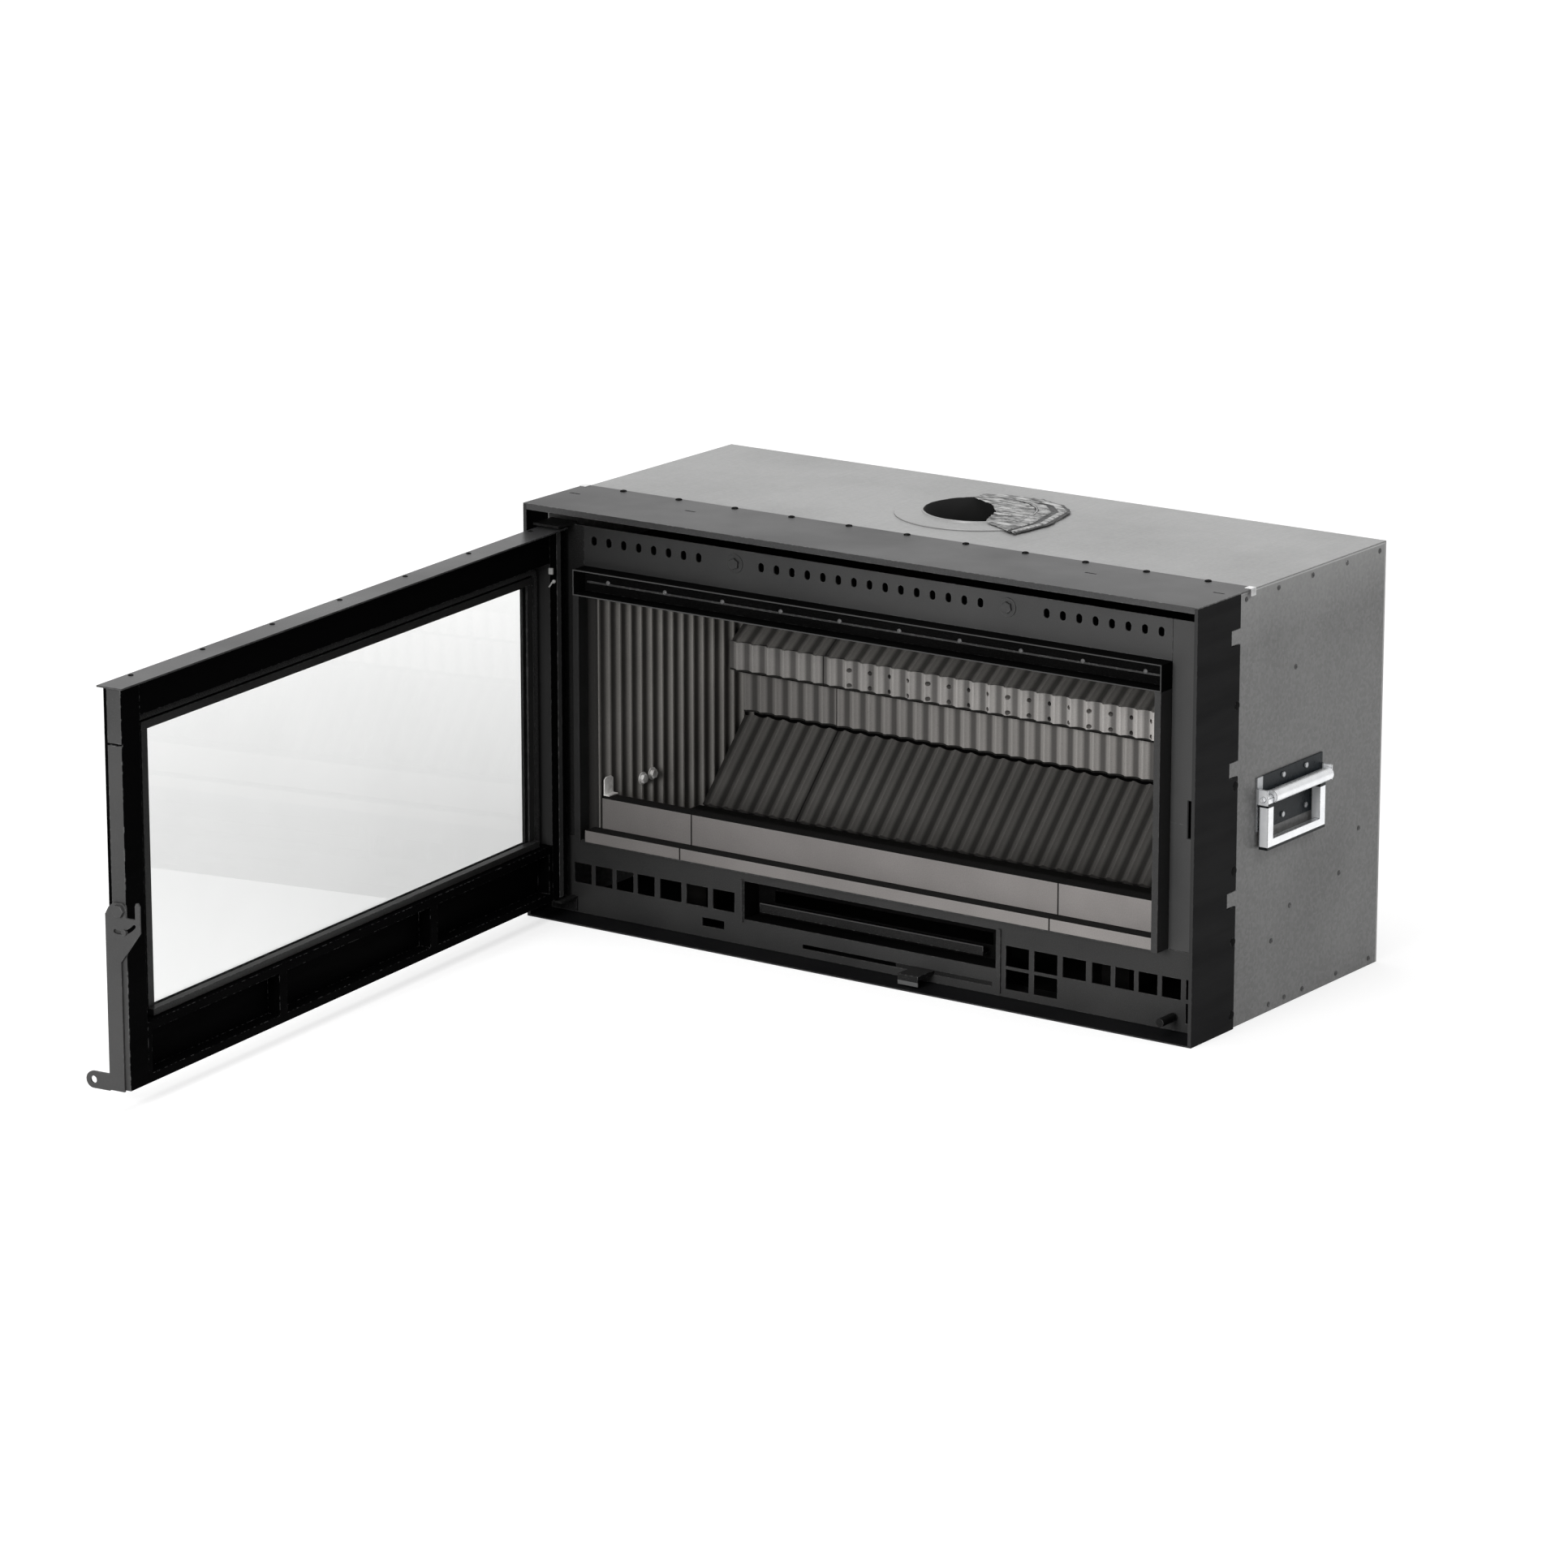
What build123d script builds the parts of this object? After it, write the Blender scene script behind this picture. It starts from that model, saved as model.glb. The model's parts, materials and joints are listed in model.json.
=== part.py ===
from build123d import *
import os
from math import atan2, cos, degrees, hypot, radians, sin

# ---------------------------------------------------------------------------
# Fireplace insert.  Millimetres, +Z up.  x runs to the right seen from the
# front.  Every y below is a distance behind the front rim of the casing; the
# helpers add "front", which puts the origin at the middle of the base.
# ---------------------------------------------------------------------------

# overall sizes
width = 1000.0
height = 543.0
depth = 448.0
half = width / 2
front = -depth / 2
seam = 0.3
casing_sheet = 2.0
casing_side_depth = 98.0
casing_top_depth = 132.0
casing_clearance = 1.5
rim_width = 5.0
top_rim_width = 8.0
top_sheet = 1.6
body_sheet = 1.5
body_half = half - casing_sheet - casing_clearance
body_top_z = height - top_sheet
body_front = 47.5

# front plate behind the door
plate_y = 45.0
plate_sheet = 2.0
plate_back = plate_y + plate_sheet
post_width = 56.3
post_outer = body_half - body_sheet - 0.5
post_inner = post_outer - post_width
outlet_height = 28.4
plate_top = body_top_z - outlet_height
panel_top = 103.4
recess_half = 190.0
recess_low = 36.0
recess_high = 86.0
recess_back = 78.0
square_low = 42.0
square_high = 68.3
wide_square = 33.7
narrow_square = 27.0
lower_square_low = 12.5
lower_square_high = 38.0
slider_slot_end = recess_half - 5.0
slot_pitch = 23.3
slot_width = 8.5
latch_slot_x = 463.8
latch_slot_width = 5.4
latch_slot_low = 246.0
latch_slot_high = 292.0

# lip around the fire opening
lip_outer = post_inner - 0.2
lip_width = 9.0
lip_rim = lip_outer - lip_width
lip_front = 20.0
lip_sheet = 1.5
lip_top = plate_top - 52.0
channel_height = 33.5
channel_bottom = lip_top - channel_height
rivet_pitch = (2 * lip_outer - 75.0) / 9

# firebox shell
shell = 3.0
shell_half = post_inner + 1.8 + shell
shell_rear = depth - 45.0
floor_z = recess_high + 1.6
floor_top = floor_z + shell
shell_top = lip_top + 19.0

# fluted lining
lining_thick = 18.0
ridge_x = shell_half - shell - lining_thick
lining_front = plate_back + 3.3
lining_rear = shell_rear - shell - 2.0
lining_top = shell_top - 50.0
flute_depth = 5.0
flute_land = 3.0
side_pitch = 22.6
row_pitch = 24.6
block_seam = 272.0
seam_gap = 0.6
block_half = ridge_x - 1.0
row_height = 39.0
row_face = lining_rear - 65.0
row_low = lining_top - 161.5
row_high = row_low + row_height
row_thick = 19.5
duct_drop = 6.0
lower_row_face = row_face + 35.0
lower_row_high = row_low - duct_drop
lower_row_low = row_low - 63.0
slope_run = 96.0
slope_head = (lower_row_face, lower_row_low - 1.5)
slope_foot = (lower_row_face - slope_run, panel_top + 0.1)
air_hole_pitch = 30.6
air_hole_r = 3.0

# flue
flue_y = depth - 158.0
flue_bore = 70.0
flue_wall = 3.0
flue_flange = 108.0
flange_sheet = 2.0
flue_rim = 2.6

# door, drawn closed and then swung open about its hinge pins
open_angle = 84.8
door_half = half - 19.0
hinge_x = 11.0 - door_half
hinge_y = 22.0
pin_r = 5.0
pin_fit = 0.05
leaf_y = 8.5
leaf_sheet = 4.0
leaf_back = leaf_y + leaf_sheet
door_back = 33.0
door_low = 27.0
door_high = plate_top - 3.0
stile_inner = door_half - 36.0
glass_half_open = door_half - 73.0
glass_low = panel_top + 7.6
glass_high = channel_bottom + 15.5
bottom_rail_top = panel_top - 2.4
top_rail_low = lip_top + 9.0
top_plate_sheet = 2.0
top_plate_z = door_high + top_plate_sheet
top_plate_front = 6.0
top_plate_back = plate_y - 3.5
top_plate_end = door_half + 9.5
glass_half = glass_half_open + 17.0
glass_edge_low = bottom_rail_top + 1.8
glass_edge_high = lip_top - 6.0
glass_thick = 4.0
glass_fit = 0.3
retainer_back = 27.0
gasket_back = lip_front - 0.4
divider_x = 166.0

# latch lever on the free end of the door
lever_gap = 0.5
lever_x = door_half + lever_gap
lever_sheet = 3.0
pivot_y = 25.0
pivot_z = 245.0
pivot_r = 4.0
arc_r = 26.0
arc_from = -104.0
arc_sweep = 66.0
stop_r = 2.0
stop_angle = -74.0
hook_top = 12.0
keeper_gap = 1.3
tab_reach = 43.0
tab_drop = 210.3
tab_r = 10.3
tool_hole_r = 4.5

# controls
slider_rest = 83.0
slider_travel = 165.0
slider_z = 15.5
neck_width = 30.0
neck_sheet = 5.0
knob_x = post_inner + 9.8
knob_z = 20.0
knob_r = 5.5
rod_r = 3.0
slide_fit = 0.3

# drop handles
handle_y = depth / 2 + 9.0
handle_z = 278.5
handle_reach = 65.0
handle_flange = 22.0
handle_sheet = 2.0
handle_pin_r = 3.0
barrel_r = 8.5
handle_pin_x = body_half + handle_sheet + barrel_r + 1.0
bail_front = handle_y - 83.0
bail_rear = handle_y + 53.0
bail_drop = 64.5
bail_width = 13.0
bail_thick = 8.0


def block(x0, x1, y0, y1, z0, z1):
    return Pos((x0 + x1) / 2, front + (y0 + y1) / 2, (z0 + z1) / 2) * Box(x1 - x0, y1 - y0, z1 - z0)


def rod_x(x0, x1, y, z, radius):
    return Pos((x0 + x1) / 2, front + y, z) * Rot(0, 90, 0) * Cylinder(radius, x1 - x0)


def rod_y(x, y0, y1, z, radius):
    return Pos(x, front + (y0 + y1) / 2, z) * Rot(90, 0, 0) * Cylinder(radius, y1 - y0)


def rod_z(x, y, z0, z1, radius):
    return Pos(x, front + y, (z0 + z1) / 2) * Cylinder(radius, z1 - z0)


def profile_x(points, x0, x1):
    corners = [(x0, front + y, z) for y, z in points]
    return extrude(make_face(Polyline(*corners, close=True)), amount=x1 - x0, dir=(1, 0, 0))


def mirrored(shape):
    return shape.mirror(Plane.YZ)


def both_sides(shape):
    return [shape, mirrored(shape)]


def swung(shape):
    hinge = Axis((hinge_x, front + hinge_y, 0), (0, 0, 1))
    return shape.rotate(hinge, -open_angle)


def flute_cutters(span, pitch, length, first):
    """Round grooves along z in a face at y = 0, between ridges at first + k * pitch."""
    groove = (pitch - flute_land) / 2
    radius = (groove * groove + flute_depth * flute_depth) / (2 * flute_depth)
    cutters = []
    centre = first - pitch / 2
    while centre < span + pitch:
        if centre > -pitch:
            cutters.append(Pos(centre, flute_depth - radius, length / 2) * Cylinder(radius, length + 4))
        centre += pitch
    return cutters


def fluted_block(span, thick, length, pitch, first):
    """Block from x = 0 to span with its fluted face at y = 0 and its height along z."""
    body = Pos(span / 2, thick / 2, length / 2) * Box(span, thick, length)
    return body - flute_cutters(span, pitch, length, first)


def three_blocks(thick, length, pitch, stagger):
    """Left, middle and right fluted blocks with open seams, centred on x = 0."""
    edges = [-block_half, -block_seam, block_seam, block_half]
    blocks = []
    for left, right in zip(edges, edges[1:]):
        start = left + seam_gap / 2
        span = right - left - seam_gap
        first = (stagger * pitch - start) % pitch
        blocks.append(Pos(start, 0, 0) * fluted_block(span, thick, length, pitch, first))
    return blocks


# ---------------------------------------------------------------------------
# Casing: the black sleeve that finishes the front of the body
# ---------------------------------------------------------------------------

hook_heights = [165.0, 327.0, 490.0]


def casing_side():
    top = body_top_z - 0.1
    wall = block(half - casing_sheet, half, 0, casing_side_depth, 0, top)
    rim = block(half - rim_width, half - casing_sheet, 0, casing_sheet, casing_sheet + 0.1, top)
    back = casing_side_depth
    notches = [block(half - 2 * casing_sheet, half + 1, back - 20, back + 1, z - 10, z + 10)
               for z in hook_heights]
    return wall + rim - notches


def casing_top():
    sheet = block(-half, half, 0, casing_top_depth, body_top_z, height)
    rim = block(-half + rim_width, half - rim_width, 0, casing_sheet, height - top_rim_width, body_top_z)
    slots = [block(x - 8, x + 8, 80, 83, body_top_z - 1, height + 1)
             for x in (21 - half, 202 - half, half - 202, half - 21)]
    return sheet + rim - slots


def casing_base():
    outer = half - casing_sheet - 0.2
    inner = body_half - body_sheet - seam
    fore = block(-outer, outer, 0, plate_back, 0, casing_sheet)
    return fore + block(-inner, inner, plate_back, casing_side_depth, 0, casing_sheet)


def casing_screws():
    pitch = (half - 64) / 5
    return [rod_z(pitch * k, casing_top_depth - 5, height, height + 1, 3.4) for k in range(-5, 6)]


# ---------------------------------------------------------------------------
# Body: light sheet box around the firebox
# ---------------------------------------------------------------------------


def body_side():
    wall = block(body_half - body_sheet, body_half, body_front, depth - body_sheet - 0.2,
                 0, body_top_z - body_sheet - 0.2)
    hooks = [block(body_half, half - 0.8, casing_side_depth - 19, casing_side_depth + 4, z - 9, z + 9)
             for z in hook_heights]
    return wall + hooks


def body_top():
    sheet = block(-body_half, body_half, body_front, depth - body_sheet - 0.2,
                  body_top_z - body_sheet, body_top_z)
    return sheet - rod_z(0, flue_y, body_top_z - 5, body_top_z + 5, flue_bore + flue_wall + 0.3)


def body_rear():
    sheet = block(-body_half, body_half, depth - body_sheet, depth, 0, body_top_z)
    vents = [block(x - 60, x + 60, depth - 5, depth + 5, 30, 40) for x in (-320, -160, 0, 160, 320)]
    return sheet - vents


def body_base():
    inner = body_half - body_sheet - seam
    return block(-inner, inner, casing_side_depth + seam, depth - body_sheet - seam, 0, casing_sheet)


def body_screws():
    spots = [(depth - back, body_top_z - 10.4) for back in (332, 257, 177, 95, 16)]
    spots += [(depth - back, 9) for back in (262, 225, 182, 100, 20)]
    face = ((213, height - 119), (52, 185), (98, 138), (216, 124), (259, 89))
    spots += [(depth - back, z) for back, z in face]
    right = [rod_x(body_half, body_half + 1, y, z, 3) for y, z in spots]
    return right + [mirrored(screw) for screw in right]


# ---------------------------------------------------------------------------
# Front plate: two posts, lower panel, slotted upper panel
# ---------------------------------------------------------------------------


def post():
    return block(post_inner, post_outer, plate_y, plate_back, panel_top + seam, plate_top)


def post_right():
    """The post beside the latch is three flush strips round the notch for the hook."""
    edge = lever_x - 7.5
    low = pivot_z - 50
    high = pivot_z + hook_top + 5
    sight = block(latch_slot_x, latch_slot_x + latch_slot_width, plate_y - 1, plate_back + 1,
                  latch_slot_low, latch_slot_high)
    upper = block(post_inner, post_outer, plate_y, plate_back, high, plate_top) - sight
    inner = block(post_inner, edge, plate_y, plate_back, panel_top + seam, high) - sight
    outer = block(edge, post_outer, plate_y, plate_back, panel_top + seam, low)
    return [upper, inner, outer]


def latch_keeper():
    low = pivot_z + hook_top + keeper_gap
    return block(lever_x - 9.5, lever_x + 7.5, plate_y - 2.5, plate_y, low, low + 32)


def square_cuts():
    y0 = plate_y - 1
    y1 = plate_back + 1
    wide = [recess_half + 14.8 + 41.4 * k for k in range(3)]
    narrow = [post_outer - 164.5 + 33.4 * k for k in range(4)]
    cuts = []
    for x in wide:
        cuts += both_sides(block(x, x + wide_square, y0, y1, square_low, square_high))
    for x in narrow:
        cuts += both_sides(block(x, x + narrow_square, y0, y1, square_low, square_high))
    lower = [block(x, x + wide_square, y0, y1, lower_square_low, lower_square_high) for x in wide[:2]]
    return cuts + lower


def slider_slot():
    x0 = slider_rest - slider_travel - neck_width / 2 - 3
    drop = neck_sheet / 2 + slide_fit
    return block(x0, slider_slot_end, plate_y - 1, plate_back + 1, slider_z - drop, slider_z + drop)


def lower_panel():
    sheet = block(-post_outer, post_outer, plate_y, plate_back, casing_sheet + seam, panel_top)
    ledge = block(-lip_rim + 1, lip_rim - 1, lip_front + 8.3, plate_y, panel_top - 1.4, panel_top)
    ribs = [block(recess_half + 4, recess_half + 8, plate_y - 2.5, plate_y, 6, recess_high + 2),
            block(-recess_half - 4, -recess_half - 1, plate_y - 2.5, plate_y, 32, recess_high + 2)]
    cuts = square_cuts()
    y0 = plate_y - 1
    y1 = plate_back + 1
    cuts.append(block(-recess_half, recess_half, y0, y1, recess_low, recess_high))
    cuts.append(block(-recess_half - 65, -recess_half - 31, y0, y1, 17, 28))
    cuts += [block(post_outer - 30, post_outer - 26, y0, y1, z, z + 25) for z in (14, 44)]
    cuts.append(slider_slot())
    cuts.append(rod_y(knob_x, y0, y1, knob_z, rod_r + slide_fit))
    return sheet + ledge + ribs - cuts


def control_box():
    outer = block(-recess_half - 1.5, recess_half + 1.5, plate_back, recess_back + 1.5,
                  recess_low - 1.5, recess_high + 1.5)
    hollow = block(-recess_half, recess_half, plate_back - 1, recess_back, recess_low, recess_high)
    air_slot = block(25 - recess_half, recess_half - 25, recess_back - 1, recess_back + 3,
                     recess_low + 18, recess_high - 16)
    return outer - hollow - air_slot


def damper_bar():
    x0 = 12 - recess_half
    x1 = recess_half - 30
    low = recess_low + 7.4
    face = block(x0, x1, recess_back - 16, recess_back - 14, low, low + 12)
    return face + block(x0, x1, recess_back - 14, recess_back, low, low + 2)


def slot_panel():
    edge = post_inner - 0.4
    sheet = block(-edge, edge, plate_y, plate_back, lip_top + seam, plate_top)
    starts = [(16.0 - lip_outer, 8), (-7 * slot_pitch, 15), (lip_outer - 16.0 - 7 * slot_pitch, 8)]
    slots = []
    for start, count in starts:
        for k in range(count):
            cut = extrude(Plane.XZ * SlotOverall(12, slot_width, rotation=90), amount=10, both=True)
            slots.append(Pos(start + slot_pitch * k, front + plate_y, plate_top - 18) * cut)
    holes = [rod_y(x, plate_y - 1, plate_back + 1, plate_top - 18, 4.2) for x in (-203, 203)]
    return sheet - slots - holes


def slot_panel_bolts():
    bolts = []
    z = plate_top - 18
    for x in (-203, 203):
        hexagon = extrude(Plane.XZ * RegularPolygon(6.5, 6), amount=4)
        head = Pos(x, front + plate_y - 1.2, z) * hexagon
        washer = rod_y(x, plate_y - 1.2, plate_y, z, 12)
        bolts.append(head + washer + rod_y(x, plate_y, plate_back + 6, z, 4))
    return bolts


# ---------------------------------------------------------------------------
# Lip of the fire opening and air-wash channel
# ---------------------------------------------------------------------------


def lip_leg():
    low = panel_top + 0.2
    high = channel_bottom - 0.1
    wall = block(lip_outer - lip_sheet, lip_outer, lip_front, plate_back + 2.5, low, high)
    rim = block(lip_rim, lip_outer - lip_sheet, lip_front, lip_front + lip_sheet, low, high)
    return wall + rim


def airwash_channel():
    lower = block(-lip_outer, lip_outer, lip_front, plate_back, channel_bottom, channel_bottom + lip_sheet)
    upper = block(-lip_outer, lip_outer, lip_front, plate_back, lip_top - lip_sheet, lip_top)
    web = block(-lip_outer, lip_outer, plate_back - lip_sheet, plate_back, channel_bottom, lip_top)
    end = block(lip_outer - lip_sheet, lip_outer, lip_front, plate_back, channel_bottom, lip_top)
    return lower + upper + web + both_sides(end)


def airwash_rivets():
    face = plate_back - lip_sheet
    level = channel_bottom + lip_sheet + 14
    return [rod_y(rivet_pitch * (k - 4.5), face - 2, face, level, 4) for k in range(10)]


# ---------------------------------------------------------------------------
# Firebox shell
# ---------------------------------------------------------------------------


def shell_side():
    return block(shell_half - shell, shell_half, plate_back + 0.2, shell_rear, floor_top, shell_top - shell)


def shell_back():
    edge = shell_half - shell
    return block(-edge, edge, shell_rear - shell, shell_rear, floor_top, shell_top - shell)


def shell_roof():
    sheet = block(-shell_half, shell_half, plate_back + 0.2, shell_rear, shell_top - shell, shell_top)
    return sheet - rod_z(0, flue_y, shell_top - 5, shell_top + 5, flue_bore + 1)


def shell_floor():
    sheet = block(-shell_half, shell_half, plate_back + 0.2, shell_rear, floor_z, floor_top)
    legs = []
    for y in (plate_back + 80, shell_rear - 33):
        legs += both_sides(block(shell_half - 143, shell_half - 103, y - 12, y + 12, casing_sheet, floor_z))
    return sheet + legs


def flue_collar():
    top = body_top_z + flange_sheet + flue_rim
    tube = rod_z(0, flue_y, shell_top, top, flue_bore + flue_wall)
    flange = rod_z(0, flue_y, body_top_z, body_top_z + flange_sheet, flue_flange)
    return tube + flange - rod_z(0, flue_y, shell_top - 5, top + 5, flue_bore)


# ---------------------------------------------------------------------------
# Fluted lining, air rows, slope, log guard
# ---------------------------------------------------------------------------


def lining_left():
    span = lining_rear - lining_front
    slab = fluted_block(span, lining_thick, lining_top - floor_top, side_pitch, 5.3)
    return Pos(-ridge_x, front + lining_front, floor_top) * Rot(0, 0, 90) * slab


def air_row():
    placed = Pos(0, front + row_face, row_low)
    blocks = [placed * b for b in three_blocks(row_thick, row_high - row_low, row_pitch, 0.5)]
    holes = []
    for k in range(16):
        x = (k - 7.5) * air_hole_pitch
        holes += [rod_y(x, row_face - 1, row_face + row_thick + 1, z, air_hole_r)
                  for z in (row_low + 6.5, row_low + 26.5)]
    blocks[1] = blocks[1] - holes
    return blocks


def air_duct():
    y0 = row_face + row_thick + 0.3
    y1 = lining_rear + 1.5
    edge = block_half - 3
    top = block(-edge, edge, y0, y1, row_high - 3, row_high - 1.5)
    bottom = block(-edge, edge, y0, y1, row_low - duct_drop, row_low - duct_drop + 1.5)
    back = block(-edge, edge, y1 - 1.5, y1, row_low - duct_drop, row_high - 1.5)
    return top + bottom + back


def lower_row():
    placed = Pos(0, front + lower_row_face, lower_row_low)
    return [placed * b for b in three_blocks(18, lower_row_high - lower_row_low, row_pitch, 0)]


def slope_panels():
    rise = slope_head[1] - slope_foot[1]
    run = slope_head[0] - slope_foot[0]
    lean = degrees(atan2(run, rise))
    placed = Pos(0, front + slope_foot[0], slope_foot[1]) * Rot(-lean, 0, 0)
    return [placed * b for b in three_blocks(lining_thick, hypot(run, rise), row_pitch, 0.5)]


def crown_strip():
    low = (row_face + 0.5, row_high + 0.5)
    high = (lining_rear, low[1] + 41.5)
    corners = [low, high, (high[0], high[1] - 13.5), (low[0] + 18.5, low[1])]
    strip = profile_x(corners, -block_half, block_half)
    lean = degrees(atan2(high[0] - low[0], high[1] - low[1]))
    length = hypot(high[0] - low[0], high[1] - low[1])
    placed = Pos(-block_half, front + low[0], low[1]) * Rot(-lean, 0, 0)
    first = (0.5 * row_pitch + block_half) % row_pitch
    return strip - [placed * c for c in flute_cutters(2 * block_half, row_pitch, length, first)]


def baffle():
    edge = shell_half - shell - 0.5
    return block(-edge, edge, plate_back + 73, lining_rear, lining_top, lining_top + lining_thick)


def hearth_floor():
    return block(-block_half, block_half, plate_back + 3, slope_foot[0] - 2, floor_top, panel_top - 3.4)


def log_guard():
    edges = [5 - ridge_x, -block_seam - 4, block_seam + 4, ridge_x - 5]
    face = lining_front + 0.7
    return [block(a + seam_gap / 2, b - seam_gap / 2, face, face + 25, panel_top - 3.4, panel_top + 54.6)
            for a, b in zip(edges, edges[1:])]


def hearth_front():
    edges = [1 - lip_rim, -block_seam - 6, block_seam + 6, lip_rim - 1]
    return [block(a + seam_gap / 2, b - seam_gap / 2, lip_front + 8.3, lining_front - 0.1, panel_top,
                  panel_top + 15.3) for a, b in zip(edges, edges[1:])]


# ---------------------------------------------------------------------------
# Controls
# ---------------------------------------------------------------------------


def air_slider():
    x0 = slider_rest - neck_width / 2
    x1 = slider_rest + neck_width / 2
    y0 = plate_back + 0.5
    neck = block(x0, x1, 12, y0 + 4, slider_z - neck_sheet / 2, slider_z + neck_sheet / 2)
    tip = block(x0, x1, 10, 12, slider_z - 11, slider_z + neck_sheet / 2)
    plate = block(x0 - 28, slider_slot_end + 5, y0, y0 + 4, slider_z - 8, slider_z + 8)
    return neck + tip + plate


def pull_rod():
    knob = rod_y(knob_x, 12, plate_y - 3, knob_z, knob_r)
    return knob + rod_y(knob_x, plate_y - 3, plate_y + 45, knob_z, rod_r)


# ---------------------------------------------------------------------------
# Hinges and door
# ---------------------------------------------------------------------------


def hinge_top():
    arm = block(hinge_x - 22, hinge_x + 18, hinge_y - 12, plate_back + 3, plate_top + 0.5, plate_top + 3.5)
    leg = block(hinge_x - 22, hinge_x + 18, plate_back, plate_back + 3, plate_top - 43, plate_top + 0.5)
    pin = rod_z(hinge_x, hinge_y, door_high - 12, plate_top + 3.5, pin_r)
    return arm + leg + pin


def hinge_bottom():
    top = door_low - 3
    arm = block(hinge_x - 22, hinge_x + 18, hinge_y - 12, plate_y, top - 3, top)
    leg = block(hinge_x - 22, hinge_x + 18, plate_y - 2.5, plate_y, casing_sheet + 2, top - 3)
    washer = rod_z(hinge_x, hinge_y, top, door_low - 0.3, pin_r + 4)
    pin = rod_z(hinge_x, hinge_y, top, door_low + 12, pin_r)
    return arm + leg + washer + pin


def stile():
    box = block(stile_inner, door_half, leaf_back, door_back, door_low, door_high)
    joint = block(door_half - 1.5, door_half + 1, leaf_back, door_back + 1, glass_high - 2.5, glass_high)
    return box - joint + block(glass_half_open, door_half, leaf_y, leaf_back, door_low, door_high)


def stile_hinge():
    bores = [rod_z(hinge_x, hinge_y, door_low - 1, door_low + 13, pin_r + pin_fit),
             rod_z(hinge_x, hinge_y, door_high - 13, door_high + 1, pin_r + pin_fit)]
    return mirrored(stile()) - bores


def rail_top():
    box = block(-stile_inner + 0.2, stile_inner - 0.2, leaf_back, door_back, top_rail_low, door_high)
    leaf = block(-glass_half_open + 0.2, glass_half_open - 0.2, leaf_y, leaf_back, glass_high, door_high)
    return box + leaf


def rail_bottom():
    box = block(-stile_inner + 0.2, stile_inner - 0.2, leaf_back, door_back, door_low, bottom_rail_top)
    leaf = block(-glass_half_open + 0.2, glass_half_open - 0.2, leaf_y, leaf_back, door_low, glass_low)
    pockets = [block(a, b, leaf_back + 3, door_back + 1, door_low + 11, bottom_rail_top - 11)
               for a, b in ((8 - stile_inner, -divider_x - 8), (8 - divider_x, divider_x - 8),
                            (divider_x + 8, stile_inner - 8))]
    return box + leaf - pockets


def door_top_plate():
    plate = block(6 - door_half, top_plate_end, top_plate_front, top_plate_back, door_high, top_plate_z)
    hole = rod_z(hinge_x, hinge_y, door_high - 1, top_plate_z + 1, pin_r + pin_fit)
    return plate - hole


def door_top_screws():
    pitch = (door_half - 49) / 3
    return [rod_z(pitch * k, leaf_back, top_plate_z, top_plate_z + 1, 3) for k in range(-3, 4)]


def door_glass():
    face = leaf_back + glass_fit
    return block(-glass_half, glass_half, face, face + glass_thick, glass_edge_low, glass_edge_high)


def glass_retainer():
    y0 = leaf_back + glass_fit + glass_thick
    y1 = retainer_back
    edge = glass_half - 1
    low = glass_high + 3
    top = block(-edge, edge, y0, gasket_back, low, glass_edge_high)
    bottom = block(-edge, edge, y0, y1, glass_edge_low, glass_low)
    return [top, bottom] + both_sides(block(edge - 12, edge, y0, gasket_back, glass_low + 0.2, low - 0.2))


def door_gasket():
    edge = stile_inner - 4
    top = block(-edge, edge, leaf_back, gasket_back, glass_edge_high + 1, top_rail_low - 3)
    side = block(glass_half + 2, edge, leaf_back, gasket_back, glass_edge_low, glass_edge_high + 0.8)
    return [top] + both_sides(side)


def latch_lever():
    tip = plate_back + 0.4 - pivot_y
    outline = [(-20, -tab_drop - 9), (1, -tab_drop - 9), (1, -62), (tip + 6, -24), (tip + 6, hook_top - 4),
               (tip + 4, hook_top), (tip + 1.5, hook_top), (tip, hook_top - 4), (tip, -8), (9, -8),
               (9, 4), (4.5, 9), (-8, 9), (-15, 3), (-20, -6), (-20, tab_r - tab_drop),
               (-tab_reach, tab_r - tab_drop), (-tab_reach, -tab_r - tab_drop), (-20, -tab_r - tab_drop)]
    corners = [(pivot_y + y, pivot_z + z) for y, z in outline]
    plate = profile_x(corners, lever_x, lever_x + lever_sheet)
    plate = plate + rod_x(lever_x, lever_x + lever_sheet, pivot_y - tab_reach, pivot_z - tab_drop, tab_r)
    arc = CenterArc((0, 0), arc_r, arc_from, arc_sweep)
    slot = extrude(Plane.YZ * SlotArc(arc, 2 * stop_r + 0.8), amount=20, both=True)
    plate = plate - Pos(lever_x, front + pivot_y, pivot_z) * slot
    x0 = lever_x - 1
    x1 = lever_x + lever_sheet + 1
    plate = plate - rod_x(x0, x1, pivot_y, pivot_z, pivot_r + pin_fit)
    return plate - rod_x(x0, x1, pivot_y - tab_reach, pivot_z - tab_drop, tool_hole_r)


def latch_bolt():
    outer = lever_x + lever_sheet + lever_gap
    shank = rod_x(door_half, outer, pivot_y, pivot_z, pivot_r)
    hexagon = extrude(Plane.YZ * RegularPolygon(8, 6), amount=4)
    head = Pos(outer, front + pivot_y, pivot_z) * hexagon
    y = pivot_y + arc_r * cos(radians(stop_angle))
    z = pivot_z + arc_r * sin(radians(stop_angle))
    stop = rod_x(door_half, outer, y, z, stop_r) + rod_x(outer, outer + 2, y, z, stop_r + 1.5)
    return [shank + head, stop]


# ---------------------------------------------------------------------------
# Drop handles on the body sides (drawn on the right, mirrored to the left)
# ---------------------------------------------------------------------------


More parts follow.
